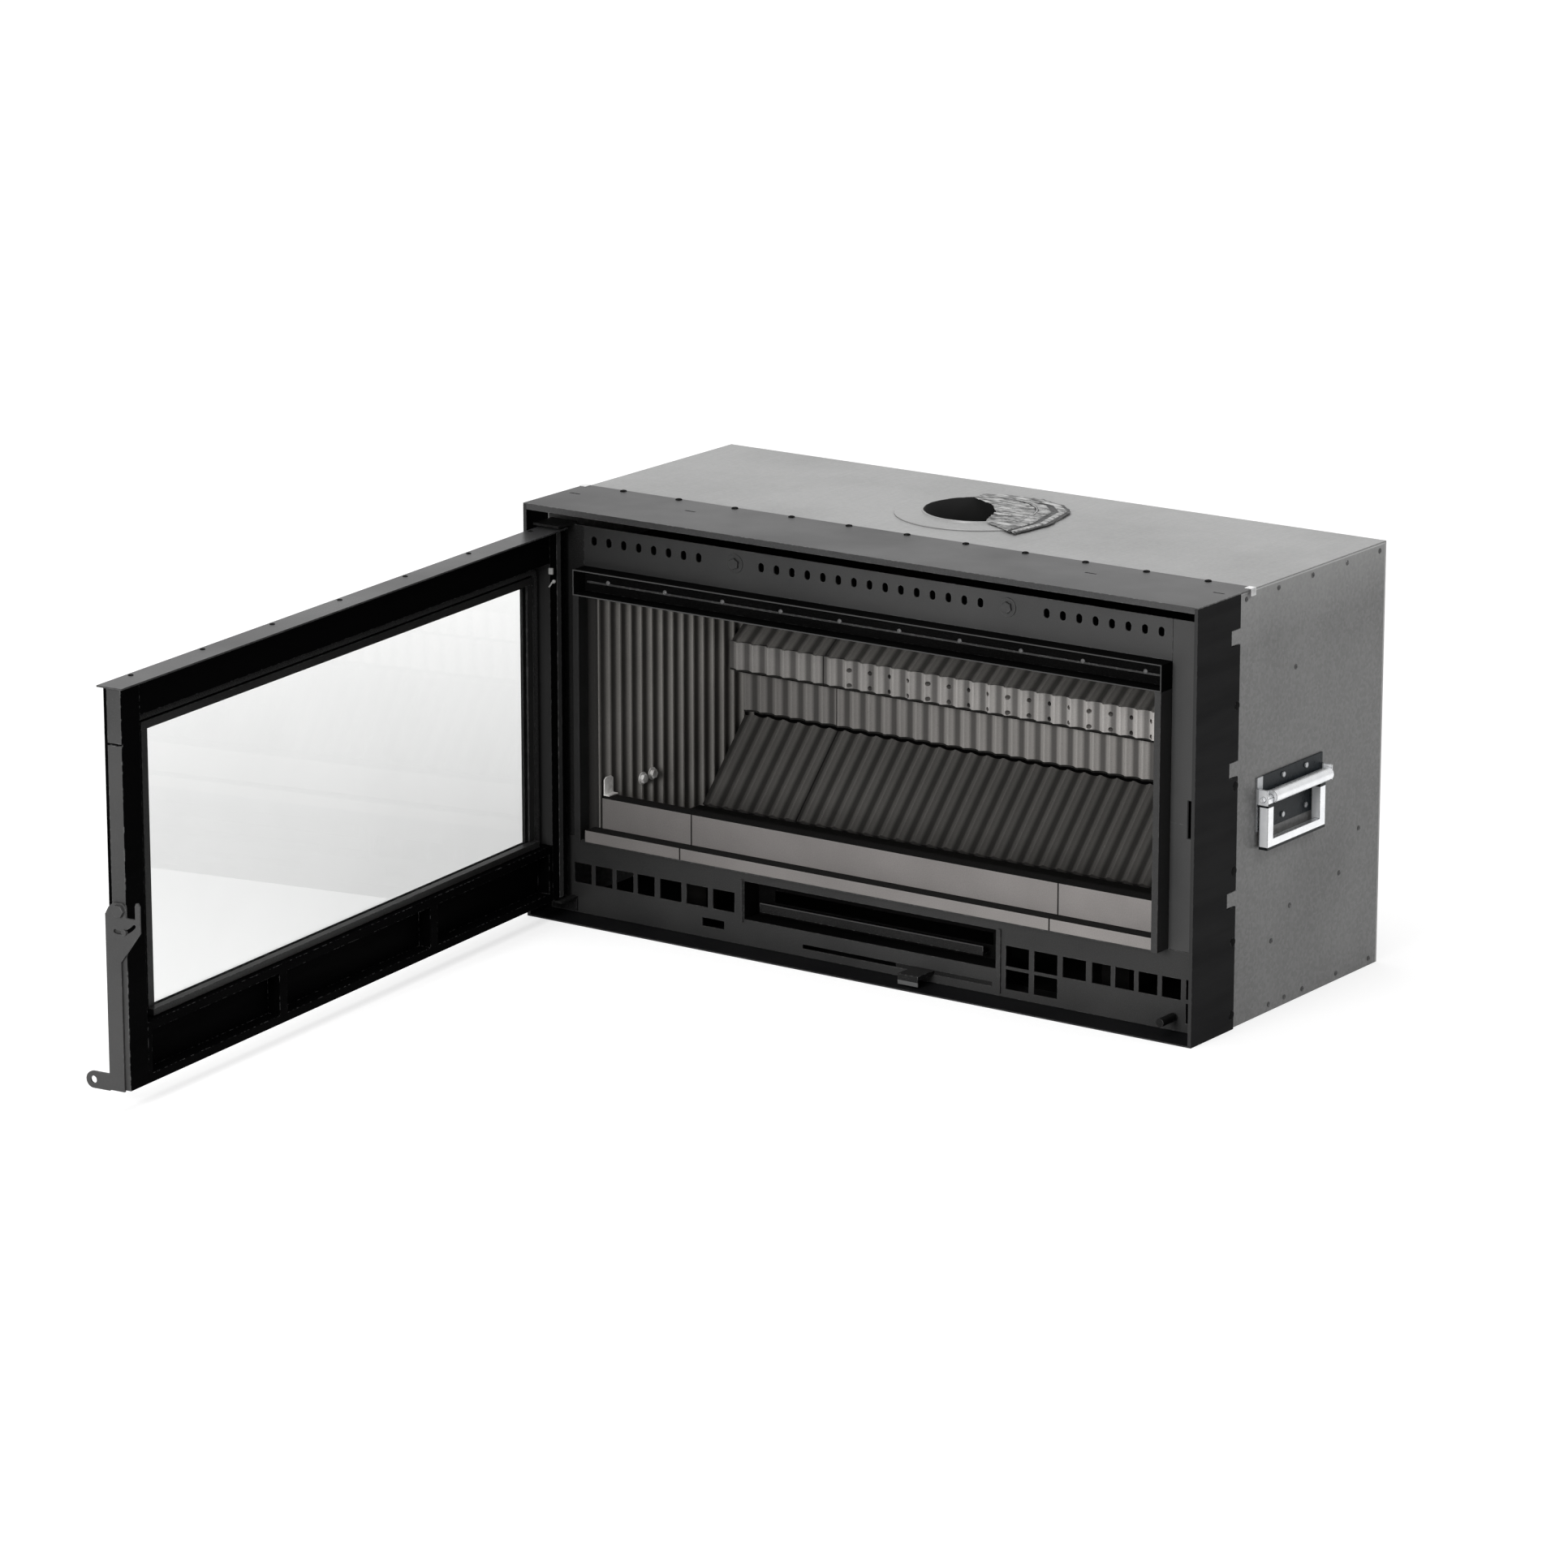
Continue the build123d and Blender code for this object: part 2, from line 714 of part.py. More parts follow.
def handle_plate():
    y0 = handle_y - handle_reach - handle_flange
    y1 = handle_y + handle_reach + 2.5
    face = body_half + handle_sheet
    plate = block(body_half, face, y0, y1, handle_z - 42.5, handle_z + 25.5)
    ears = [block(face, handle_pin_x + 5, a, a + 2, handle_z - 8, handle_z + 12) for a in (y0, y1 - 2)]
    pin = rod_y(handle_pin_x, y0 - 6, y1, handle_z, handle_pin_r)
    screws = [rod_x(face, face + 2, handle_y + dy, handle_z + dz, 3.6)
              for dy in (-27, 27) for dz in (-32.5, 17.5)]
    return plate + ears + pin + screws


def handle_bail():
    x0 = handle_pin_x - bail_thick / 2
    x1 = handle_pin_x + bail_thick / 2
    low = handle_z - bail_drop
    barrel = rod_y(handle_pin_x, bail_front + bail_width, handle_y + handle_reach, handle_z, barrel_r)
    legs = [block(handle_pin_x - barrel_r, x1, a, a + bail_width, low, handle_z)
            for a in (bail_front, bail_rear - bail_width)]
    bar = block(x0, x1, bail_front, bail_rear, low, low + bail_width)
    solid = barrel + legs + bar
    return solid - rod_y(handle_pin_x, 0, depth, handle_z, handle_pin_r + pin_fit)


os.makedirs("parts", exist_ok=True)

fixed = {
    "casing_top": casing_top(),
    "casing_left": mirrored(casing_side()),
    "casing_right": casing_side(),
    "casing_base": casing_base(),
    "casing_screws": casing_screws(),
    "body_top": body_top(),
    "body_left": mirrored(body_side()),
    "body_right": body_side(),
    "body_rear": body_rear(),
    "body_base": body_base(),
    "body_screws": body_screws(),
    "post_left": mirrored(post()),
    "post_right": post_right(),
    "latch_keeper": latch_keeper(),
    "lower_panel": lower_panel(),
    "control_box": control_box(),
    "damper_bar": damper_bar(),
    "slot_panel": slot_panel(),
    "slot_panel_bolts": slot_panel_bolts(),
    "lip_left": mirrored(lip_leg()),
    "lip_right": lip_leg(),
    "airwash_channel": airwash_channel(),
    "airwash_rivets": airwash_rivets(),
    "shell_left": mirrored(shell_side()),
    "shell_right": shell_side(),
    "shell_back": shell_back(),
    "shell_roof": shell_roof(),
    "shell_floor": shell_floor(),
    "flue_collar": flue_collar(),
    "lining_left": lining_left(),
    "lining_right": mirrored(lining_left()),
    "air_row": air_row(),
    "air_duct": air_duct(),
    "lower_row": lower_row(),
    "slope_panels": slope_panels(),
    "crown_strip": crown_strip(),
    "baffle": baffle(),
    "hearth_floor": hearth_floor(),
    "log_guard": log_guard(),
    "hearth_front": hearth_front(),
    "air_slider": air_slider(),
    "pull_rod": pull_rod(),
    "hinge_top": hinge_top(),
    "hinge_bottom": hinge_bottom(),
    "handle_plate_left": mirrored(handle_plate()),
    "handle_plate_right": handle_plate(),
    "handle_bail_left": mirrored(handle_bail()),
    "handle_bail_right": handle_bail(),
}

hung = {
    "door_stile_hinge": stile_hinge(),
    "door_stile_latch": stile(),
    "door_rail_top": rail_top(),
    "door_rail_bottom": rail_bottom(),
    "door_top_plate": door_top_plate(),
    "door_top_screws": door_top_screws(),
    "door_glass": door_glass(),
    "glass_retainer": glass_retainer(),
    "door_gasket": door_gasket(),
    "latch_bolt": latch_bolt(),
    "latch_lever": latch_lever(),
}


def joined(shape):
    return Compound(children=list(shape)) if isinstance(shape, list) else shape


for name, shape in fixed.items():
    export_step(joined(shape), "parts/" + name + ".step")

for name, shape in hung.items():
    export_step(swung(joined(shape)), "parts/" + name + ".step")
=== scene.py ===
import json
import math

import bmesh
import bpy
from mathutils import Matrix, Vector, noise


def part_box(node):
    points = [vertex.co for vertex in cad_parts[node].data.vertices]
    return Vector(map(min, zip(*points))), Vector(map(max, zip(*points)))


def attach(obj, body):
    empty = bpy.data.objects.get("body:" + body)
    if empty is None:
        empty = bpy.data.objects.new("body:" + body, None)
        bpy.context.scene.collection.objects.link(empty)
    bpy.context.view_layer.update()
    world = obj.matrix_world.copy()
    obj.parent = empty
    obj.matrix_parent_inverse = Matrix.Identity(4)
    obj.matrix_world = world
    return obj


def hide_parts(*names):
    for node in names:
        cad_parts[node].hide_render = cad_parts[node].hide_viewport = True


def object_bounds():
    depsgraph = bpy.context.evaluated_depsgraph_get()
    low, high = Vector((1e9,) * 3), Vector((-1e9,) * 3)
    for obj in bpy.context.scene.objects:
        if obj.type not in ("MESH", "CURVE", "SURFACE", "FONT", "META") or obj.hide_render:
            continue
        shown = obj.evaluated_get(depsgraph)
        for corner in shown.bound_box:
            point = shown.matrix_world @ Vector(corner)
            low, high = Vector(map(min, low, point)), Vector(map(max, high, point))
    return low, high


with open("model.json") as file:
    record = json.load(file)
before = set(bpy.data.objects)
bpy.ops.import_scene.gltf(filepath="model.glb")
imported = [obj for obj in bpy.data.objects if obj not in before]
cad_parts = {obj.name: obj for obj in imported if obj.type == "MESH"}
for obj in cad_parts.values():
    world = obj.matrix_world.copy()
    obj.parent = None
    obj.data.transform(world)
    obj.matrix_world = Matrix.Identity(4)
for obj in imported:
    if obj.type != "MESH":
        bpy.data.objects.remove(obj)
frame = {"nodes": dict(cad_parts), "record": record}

cad_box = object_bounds()
node = frame["nodes"]
mm = 0.001


# ---------------------------------------------------------------------------
# Casing: the black sleeve round the front. Folded 2 mm sheet with a narrow
# rim turned in at the front, sprayed with satin black heat-proof paint.
# ---------------------------------------------------------------------------


def feed(made, inputs):
    """Gives a node its inputs: each a number, a colour or another node's output."""
    for key, value in inputs.items():
        socket = made.inputs[key]
        if isinstance(value, bpy.types.NodeSocket):
            made.id_data.links.new(value, socket)
        else:
            socket.default_value = (*value, 1) if socket.type == "RGBA" else value


def put(tree, kind, inputs=None, **settings):
    """Adds one node to a tree."""
    made = tree.nodes.new(kind)
    for key, value in settings.items():
        setattr(made, key, value)
    feed(made, inputs or {})
    return made


def calc(tree, operation, *values, clamp=False):
    made = put(tree, "ShaderNodeMath", dict(enumerate(values)), operation=operation, use_clamp=clamp)
    return made.outputs[0]


def times(tree, a, b, clamp=False):
    return calc(tree, "MULTIPLY", a, b, clamp=clamp)


def vector_calc(tree, operation, *values):
    """A length or a dot product comes out as one number, anything else as a vector."""
    made = put(tree, "ShaderNodeVectorMath", dict(enumerate(values)), operation=operation)
    return made.outputs["Value" if operation in ("LENGTH", "DOT_PRODUCT") else "Vector"]


def blend(tree, share, a, b):
    """Colour a where share is 0, colour b where it is 1."""
    return put(tree, "ShaderNodeMix", {0: share, 6: a, 7: b}, data_type="RGBA").outputs[2]


def ramp(tree, value, low, high, start=0.0, end=1.0):
    return put(tree, "ShaderNodeMapRange", {0: value, 1: low, 2: high, 3: start, 4: end}).outputs[0]


def grey(level):
    return (level, level, level)


def own_place(tree):
    return put(tree, "ShaderNodeTexCoord").outputs["Object"]


def stretched(tree, scale, place=(0, 0, 0)):
    mapped = put(tree, "ShaderNodeMapping", {"Vector": own_place(tree), "Location": place, "Scale": scale})
    return mapped.outputs[0]


def wave(tree, scale, detail=3.0, low=0.35, high=0.65, coords=None):
    """Noise stretched to the full 0 to 1."""
    coords = coords or own_place(tree)
    cloud = put(tree, "ShaderNodeTexNoise", {"Vector": coords, "Scale": scale, "Detail": detail})
    return ramp(tree, cloud.outputs["Fac"], low, high)


def edge_mask(tree, radius, low, high):
    """1 along the cut edges of a piece, 0 on its faces."""
    soft = put(tree, "ShaderNodeBevel", {"Radius": radius}, samples=6).outputs[0]
    sharp = put(tree, "ShaderNodeNewGeometry").outputs["Normal"]
    return ramp(tree, vector_calc(tree, "DOT_PRODUCT", soft, sharp), low, high)


def new_group(name, takes, gives, kind="ShaderNodeTree"):
    """A shared node tree with its inputs, each with the value it starts from, and its outputs."""
    tree = bpy.data.node_groups.new(name, kind)
    for way, sockets in (("INPUT", takes), ("OUTPUT", gives)):
        for label, sort, *start in sockets:
            socket = tree.interface.new_socket(label, in_out=way, socket_type="NodeSocket" + sort)
            for value in start:
                socket.default_value = (*value, 1) if sort == "Color" else value
    return tree, put(tree, "NodeGroupInput").outputs, put(tree, "NodeGroupOutput")


# Sprayed paint: clouds of dust, fine grains, orange peel, and bright metal where edges rub through.
sprayed, take, give = new_group(
    "sprayed_paint",
    [("Colour", "Color", grey(0.01)), ("Dust", "Float", 0.1), ("Grain", "Float", 0.2),
     ("Roughness", "Float", 0.4), ("Wear", "Float", 0.4)],
    [("Colour", "Color"), ("Roughness", "Float"), ("Metallic", "Float"), ("Height", "Float")])
grains = wave(sprayed, 900, 2)
smears = wave(sprayed, 1, 4, coords=stretched(sprayed, (4, 4, 40)))
peel = wave(sprayed, 350, 1)
chips = wave(sprayed, 160, 4, 0.5, 0.62)
edge = edge_mask(sprayed, 1.2 * mm, 0.995, 0.86)
rubbed = times(sprayed, times(sprayed, edge, chips), take["Wear"], clamp=True)
dusty = times(sprayed, wave(sprayed, 7, 5), take["Dust"], clamp=True)
powder = blend(sprayed, dusty, take["Colour"], (0.16, 0.155, 0.15))
grainy = times(sprayed, times(sprayed, grains, grains), take["Grain"], clamp=True)
specked = blend(sprayed, grainy, powder, grey(0.1))
spread = times(sprayed, calc(sprayed, "SUBTRACT", smears, 0.5), 0.16)
feed(give, {"Colour": blend(sprayed, rubbed, specked, grey(0.3)),
            "Metallic": times(sprayed, rubbed, 0.8),
            "Roughness": calc(sprayed, "ADD", take["Roughness"], spread, clamp=True),
            "Height": calc(sprayed, "ADD", times(sprayed, peel, 0.5), grains)})


def new_material(name, specular=0.5):
    material = bpy.data.materials.new(name)
    material.use_nodes = True
    tree = material.node_tree
    tree.nodes.clear()
    shader = put(tree, "ShaderNodeBsdfPrincipled", {"Specular IOR Level": specular})
    put(tree, "ShaderNodeOutputMaterial", {"Surface": shader.outputs[0]})
    return material, tree, shader


def bump(tree, shader, height, depth, strength=0.5):
    """Raises the surface, over any bump that it has already."""
    raised = put(tree, "ShaderNodeBump", {"Height": height, "Distance": depth, "Strength": strength})
    for link in list(shader.inputs["Normal"].links):
        feed(raised, {"Normal": link.from_socket})
    feed(shader, {"Normal": raised.outputs[0]})


def finish_from(group, name, specular, depth, strength=0.5, **values):
    """A material with one of the shared surfaces, set to its own values."""
    material, tree, shader = new_material(name, specular)
    coat = put(tree, "ShaderNodeGroup", values, node_tree=group)
    for label, socket in (("Colour", "Base Color"), ("Roughness", "Roughness"), ("Metallic", "Metallic")):
        if label in coat.outputs:
            feed(shader, {socket: coat.outputs[label]})
    bump(tree, shader, coat.outputs["Height"], depth, strength)
    return material, tree, shader, coat


def paint(name, colour, roughness, specular, dust=0.1, grain=0.15, wear=0.4):
    return finish_from(sprayed, name, specular, 0.04 * mm, Colour=colour, Dust=dust, Grain=grain,
                       Roughness=roughness, Wear=wear)[0]


def soften(piece, radius):
    """Rounds the cut edges of a piece and shades its faces flat."""
    rounded = piece.modifiers.new("edge", "BEVEL")
    rounded.width = radius
    rounded.segments = 2
    rounded.limit_method = "ANGLE"
    rounded.angle_limit = math.radians(40)
    piece.modifiers.new("shade", "WEIGHTED_NORMAL").keep_sharp = True


def dress(name, material, radius=0.4 * mm):
    """Gives a construction node its finish and softens its cut edges."""
    piece = node[name]
    piece.data.materials.clear()
    piece.data.materials.append(material)
    if radius:
        piece.modifiers.new("join", "WELD").merge_threshold = 0.002 * mm
        flat = piece.modifiers.new("flat", "DECIMATE")
        flat.decimate_type = "DISSOLVE"
        flat.angle_limit = math.radians(0.5)
        soften(piece, radius)


def facing(tree, way, low, high):
    """0 to 1 as a surface of the piece, in its rest place, turns towards a way."""
    normal = put(tree, "ShaderNodeNewGeometry").outputs["Normal"]
    own = put(tree, "ShaderNodeVectorTransform", {0: normal}, vector_type="NORMAL", convert_from="WORLD",
              convert_to="OBJECT").outputs[0]
    return ramp(tree, vector_calc(tree, "DOT_PRODUCT", own, way), low, high)


def two_tone(material, share_of, colour):
    """Lays a second colour over a finished paint where share_of gives 1."""
    tree = material.node_tree
    shader = next(n for n in tree.nodes if n.type == "BSDF_PRINCIPLED")
    first = shader.inputs["Base Color"].links[0].from_socket
    feed(shader, {"Base Color": blend(tree, share_of(tree), first, colour)})
    return material


def lit_from_front(tree):
    return facing(tree, (0, -1, 0), 0.5, 0.8)


# Painted light: the paint is lighter on the rim and on all that faces forward.
casing_paint = paint("casing_paint", (0.0035, 0.0035, 0.004), 0.45, 0.03, dust=0.015, grain=0.06)
two_tone(casing_paint, lit_from_front, grey(0.043))
# Painted light and shade: the top is a lighter, glossier copy of the casing paint, whose sides are darker and
# almost without gloss.
casing_top_paint = paint("casing_top_paint", (0.009, 0.009, 0.0095), 0.36, 0.52, dust=0.06, wear=0.8)
for name in ("casing_left", "casing_right", "casing_base"):
    dress(name, casing_paint)
dress("casing_top", casing_top_paint)


# ---------------------------------------------------------------------------
# Seam screws: a row of small blackened pan-head screws through the rear edge
# of the casing's top into the body. Pressed steel with a cross recess.
# ---------------------------------------------------------------------------


def circle(radius, sides, first=0.0):
    angles = [math.tau * (k + first) / sides for k in range(sides)]
    return [(radius * math.cos(a), radius * math.sin(a)) for a in angles]


def skin(mesh, rings):
    """Joins rings of points, lowest first, into a closed solid."""
    for low, high in zip(rings, rings[1:]):
        for k in range(len(low)):
            after = (k + 1) % len(low)
            mesh.faces.new((low[k], low[after], high[after], high[k]))
    mesh.faces.new(list(reversed(rings[0])))
    mesh.faces.new(rings[-1])


def mesh_of(name, mesh):
    data = bpy.data.meshes.new(name)
    mesh.to_mesh(data)
    mesh.free()
    return data


def turned(name, profile, sides=12, recess=0.0):
    """A head turned round Z from (radius, height) pairs in mm, with a cross recess where one is asked for."""
    mesh = bmesh.new()
    rings = [[mesh.verts.new((x, y, height * mm)) for x, y in circle(radius * mm, sides, -0.5)]
             for radius, height in profile]
    if recess:
        arm, half_slot, top = recess * mm, recess * 0.24 * mm, profile[-1][1] * mm
        cross = []
        for k in range(4):
            quarter = Matrix.Rotation(k * math.pi / 2, 3, "Z")
            cross += [quarter @ Vector(p) for p in
                      ((arm, -half_slot, top), (arm, half_slot, top), (half_slot, half_slot, top))]
        rings.append([mesh.verts.new(p) for p in cross])
        rings.append([mesh.verts.new((p.x * 0.8, p.y * 0.8, p.z - 0.7 * mm)) for p in cross])
    skin(mesh, rings)
    return bpy.data.objects.new(name, mesh_of(name, mesh))


def hand_over(tree, give, shape, finish):
    """Ends a Geometry Nodes tree: real faces with one material."""
    real = put(tree, "GeometryNodeRealizeInstances", {0: shape}).outputs[0]
    finished = put(tree, "GeometryNodeSetMaterial", {"Geometry": real, "Material": finish})
    feed(give, {0: finished.outputs[0]})


# Heads set on points: each stands along the point's heading and is turned by chance about it.
fixings_tree, take, give = new_group(
    "fixings", [("Geometry", "Geometry"), ("Head", "Object"), ("Finish", "Material"), ("Turn", "Float")],
    [("Geometry", "Geometry")], "GeometryNodeTree")
heading = put(fixings_tree, "GeometryNodeInputNamedAttribute", {"Name": "heading"},
              data_type="FLOAT_VECTOR").outputs["Attribute"]
stand = put(fixings_tree, "FunctionNodeAlignRotationToVector", {"Vector": heading}, axis="Z").outputs[0]
chance = put(fixings_tree, "FunctionNodeRandomValue", {3: take["Turn"], 8: 7}, data_type="FLOAT").outputs[1]
spin = put(fixings_tree, "FunctionNodeAxisAngleToRotation", {"Axis": (0, 0, 1), "Angle": chance}).outputs[0]
placed = put(fixings_tree, "FunctionNodeRotateRotation", {0: stand, 1: spin},
             rotation_space="LOCAL").outputs[0]
head_shape = put(fixings_tree, "GeometryNodeObjectInfo", {"Object": take["Head"]}).outputs["Geometry"]
set_out = put(fixings_tree, "GeometryNodeInstanceOnPoints",
              {"Points": take["Geometry"], "Instance": head_shape, "Rotation": placed}).outputs[0]
hand_over(fixings_tree, give, set_out, take["Finish"])


def grow(piece, tree, **values):
    """Runs a Geometry Nodes tree on a piece and keeps the result as a plain mesh."""
    bpy.context.scene.collection.objects.link(piece)
    modifier = piece.modifiers.new("grow", "NODES")
    modifier.node_group = tree
    for item in tree.interface.items_tree:
        if item.in_out == "INPUT" and item.name in values:
            modifier[item.identifier] = values[item.name]
    ready = piece.evaluated_get(bpy.context.evaluated_depsgraph_get())
    piece.data = bpy.data.meshes.new_from_object(ready)
    piece.modifiers.clear()
    return piece


def solids_of(name):
    """Lowest and highest corners of each separate solid in a construction node."""
    mesh = bmesh.new()
    mesh.from_mesh(node[name].data)
    bmesh.ops.remove_doubles(mesh, verts=mesh.verts, dist=0.005 * mm)
    waiting, boxes = set(mesh.verts), []
    while waiting:
        front, island = [waiting.pop()], []
        while front:
            vert = front.pop()
            island.append(vert.co.copy())
            for line in vert.link_edges:
                other = line.other_vert(vert)
                if other in waiting:
                    waiting.remove(other)
                    front.append(other)
        boxes.append((Vector(map(min, zip(*island))), Vector(map(max, zip(*island)))))
    mesh.free()
    return sorted(boxes, key=lambda box: [round(c, 4) for c in box[0]])


def scatter(name, places, ways, body, head, finish):
    """Sets a head at each place, standing along its way."""
    mesh = bpy.data.meshes.new(name)
    mesh.from_pydata(places, [], [])
    data = mesh.attributes.new("heading", "FLOAT_VECTOR", "POINT")
    for k, way in enumerate(ways):
        data.data[k].vector = way
    piece = grow(bpy.data.objects.new(name, mesh), fixings_tree, Head=head, Finish=finish, Turn=math.tau)
    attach(piece, body)
    return piece


def fixings(name, stands_for, body, head, finish, seat):
    """Sets one head on each solid of a node; seat gives a solid's point and heading from its box."""
    seats = [seat(low, high) for low, high in solids_of(stands_for)]
    piece = scatter(name, [p for p, way in seats], [way for p, way in seats], body, head, finish)
    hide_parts(stands_for)


def on_top(low, high):
    return Vector(((low.x + high.x) / 2, (low.y + high.y) / 2, low.z)), Vector((0, 0, 1))


screw_black = paint("screw_black", grey(0.0015), 0.6, 0.03, dust=0.0, grain=0.02, wear=0.2)
seam_head = turned("seam_head", [(4.4, 0), (4.4, 0.7), (3.7, 1.3), (2.5, 1.6)], recess=1.7)
fixings("seam_screws", "casing_screws", "insert", seam_head, screw_black, on_top)

# Five shallow dimples hold each side of the casing near its rear edge.
dimple_head = turned("dimple_head", [(6, 0), (5.4, 0.3), (3, 0.5), (1, 0.55)])
dimple_y, dimple_levels = -131 * mm, (405 * mm, 306 * mm, 200 * mm, 111 * mm, 19 * mm)
side_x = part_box("casing_right")[1].x
dimples = [(side * side_x, dimple_y, z) for side in (-1, 1) for z in dimple_levels]
scatter("side_dimples", dimples, [(math.copysign(1, x), 0, 0) for x, y, z in dimples], "insert", dimple_head,
        screw_black)


# A bright clip is bent over each rear corner of the casing's top.
def hard_piece(name, mesh, material, body, radius=0.3 * mm):
    """Finishes a mesh as a made part of its body."""
    bmesh.ops.recalc_face_normals(mesh, faces=mesh.faces)
    piece = bpy.data.objects.new(name, mesh_of(name, mesh))
    bpy.context.scene.collection.objects.link(piece)
    piece.data.materials.append(material)
    if radius:
        soften(piece, radius)
    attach(piece, body)


def prism(mesh, outline, x0, x1, place=None):
    """A bar with the outline (y, z) between two x planes."""
    ends = [[mesh.verts.new((x, y, z)) for y, z in outline] for x in (x0, x1)]
    skin(mesh, ends)
    if place:
        bmesh.ops.transform(mesh, matrix=place, verts=ends[0] + ends[1])


def bar(mesh, x, y, z, place=None):
    """A square-edged bar between two planes each way."""
    prism(mesh, [(y[0], z[0]), (y[1], z[0]), (y[1], z[1]), (y[0], z[1])], *x, place)


clip_bright, tree, shader = new_material("clip_bright")
cloud = wave(tree, 160)
feed(shader, {"Base Color": blend(tree, cloud, grey(0.85), grey(0.6)),
              "Roughness": ramp(tree, cloud, 0, 1, 0.25, 0.4)})
bump(tree, shader, cloud, 0.05 * mm)
clips = bmesh.new()
clip_wall, clip_leg, clip_length = 0.8 * mm, 9 * mm, (-104 * mm, -93 * mm)
top_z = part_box("casing_top")[1].z
for side in (-1, 1):
    over = sorted((side * (side_x - clip_leg), side * side_x))
    down = sorted((side * side_x, side * (side_x + clip_wall)))
    bar(clips, over, clip_length, (top_z, top_z + clip_wall))
    bar(clips, down, clip_length, (top_z - clip_leg, top_z + clip_wall))
hard_piece("corner_clips", clips, clip_bright, "insert", 0.2 * mm)


# ---------------------------------------------------------------------------
# Body: light box of coated steel sheet behind the casing, 1.5 mm thick, with
# three hooks a side over the casing's edge. The coating has a fine spangle.
# ---------------------------------------------------------------------------


def scaled(tree, vector, factor):
    return put(tree, "ShaderNodeVectorMath", {0: vector, "Scale": factor}, operation="SCALE").outputs[0]


coated, take, give = new_group(
    "coated_sheet",
    [("Colour", "Color", grey(0.2)), ("Spangle", "Float", 0.1), ("Smudge", "Float", 0.15),
     ("Roughness", "Float", 0.36)],
    [("Colour", "Color"), ("Roughness", "Float"), ("Height", "Float")])
cells = put(coated, "ShaderNodeTexVoronoi", {"Vector": own_place(coated), "Scale": 260.0}).outputs["Color"]
cell_tone = calc(coated, "SUBTRACT", put(coated, "ShaderNodeSeparateColor", {0: cells}).outputs[0], 0.5)
hands = wave(coated, 5, 5, 0.4, 0.66)
fine = wave(coated, 1400, 2)
lines = wave(coated, 1, coords=stretched(coated, (600, 9, 9)))
tone = calc(coated, "ADD", 1.0, times(coated, cell_tone, take["Spangle"]))
tone = calc(coated, "SUBTRACT", tone, times(coated, hands, take["Smudge"]))
tone = calc(coated, "ADD", tone, times(coated, calc(coated, "SUBTRACT", fine, 0.5), 0.12))
rough = calc(coated, "ADD", take["Roughness"], times(coated, hands, 0.08), clamp=True)
feed(give, {"Colour": scaled(coated, take["Colour"], tone),
            "Roughness": calc(coated, "ADD", rough, times(coated, lines, 0.05), clamp=True),
            "Height": calc(coated, "ADD", fine, times(coated, lines, 0.5))})


def sheet_finish(name, colour, roughness, specular, spangle=0.1):
    return finish_from(coated, name, specular, 0.03 * mm, Colour=colour, Spangle=spangle, Smudge=0.12,
                       Roughness=roughness)


body_finish = sheet_finish("body_finish", (0.175, 0.175, 0.173), 0.34, 0.5, spangle=0.3)[0]
side_top, body_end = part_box("body_right")[1].z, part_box("body_rear")[1].y


def place_axis(tree, axis):
    return put(tree, "ShaderNodeSeparateXYZ", {0: own_place(tree)}).outputs["XYZ".index(axis)]


# Painted highlights: the sides are lighter towards the top and along the edges of the top and rear folds.
def painted_highlights(tree):
    height, depth = place_axis(tree, "Z"), place_axis(tree, "Y")
    top_fold = calc(tree, "GREATER_THAN", height, side_top - 1.8 * mm)
    rear_fold = calc(tree, "GREATER_THAN", depth, body_end - 3.4 * mm)
    line = times(tree, calc(tree, "MAXIMUM", top_fold, rear_fold), 0.8)
    return calc(tree, "MAXIMUM", line, ramp(tree, height, side_top - 70 * mm, side_top, 0, 0.28))


two_tone(body_finish, painted_highlights, (0.62, 0.62, 0.615))
for name in ("body_left", "body_right", "body_rear"):
    dress(name, body_finish, 0.3 * mm)
# Painted shade: the body's base is near black, and so is the inside of the control box.
inside_shade_black = paint("inside_shade_black", grey(0.002), 0.8, 0.02, dust=0.01, grain=0.02, wear=0.05)
dress("body_base", inside_shade_black, 0.3 * mm)

# The top is the same sheet, drawn up a little in rings round the flue where the collar was pressed in.
# It is lighter and glossier than the sides as painted light.
lit_top_colour = (0.285, 0.285, 0.283)
flue_y = 66 * mm
ring_width = 5 * mm


def from_flue(tree):
    """Distance from the flue's axis."""
    return vector_calc(tree, "LENGTH", stretched(tree, (1, 1, 0), (0, -flue_y, 0)))


top_finish, tree, shader, coat = sheet_finish("top_finish", lit_top_colour, 0.32, 0.6)
reach = from_flue(tree)
rings = 0.0
for radius in (112 * mm, 222 * mm):
    near = calc(tree, "COMPARE", reach, radius, ring_width)
    off = calc(tree, "ABSOLUTE", calc(tree, "SUBTRACT", reach, radius))
    rings = calc(tree, "ADD", rings, times(tree, near, ramp(tree, off, 0, ring_width, 1, 0)))
bump(tree, shader, rings, 0.25 * mm)
dress("body_top", top_finish, 0.3 * mm)


def on_side(low, high):
    right = low.x > 0
    x = low.x if right else high.x
    return Vector((x, (low.y + high.y) / 2, (low.z + high.z) / 2)), Vector((1 if right else -1, 0, 0))


screw_plated = paint("screw_plated", grey(0.02), 0.35, 0.5, dust=0.05, wear=1.0)
side_head = turned("side_head", [(3.4, 0), (3.4, 0.4), (2.9, 0.8), (2.3, 1.0)], recess=1.6)
fixings("side_screws", "body_screws", "insert", side_head, screw_plated, on_side)


# ---------------------------------------------------------------------------
# Flue collar: a round steel bore with its flange on the body's top. Outside
# it is coated as the top is; inside it is black with soot.
# ---------------------------------------------------------------------------

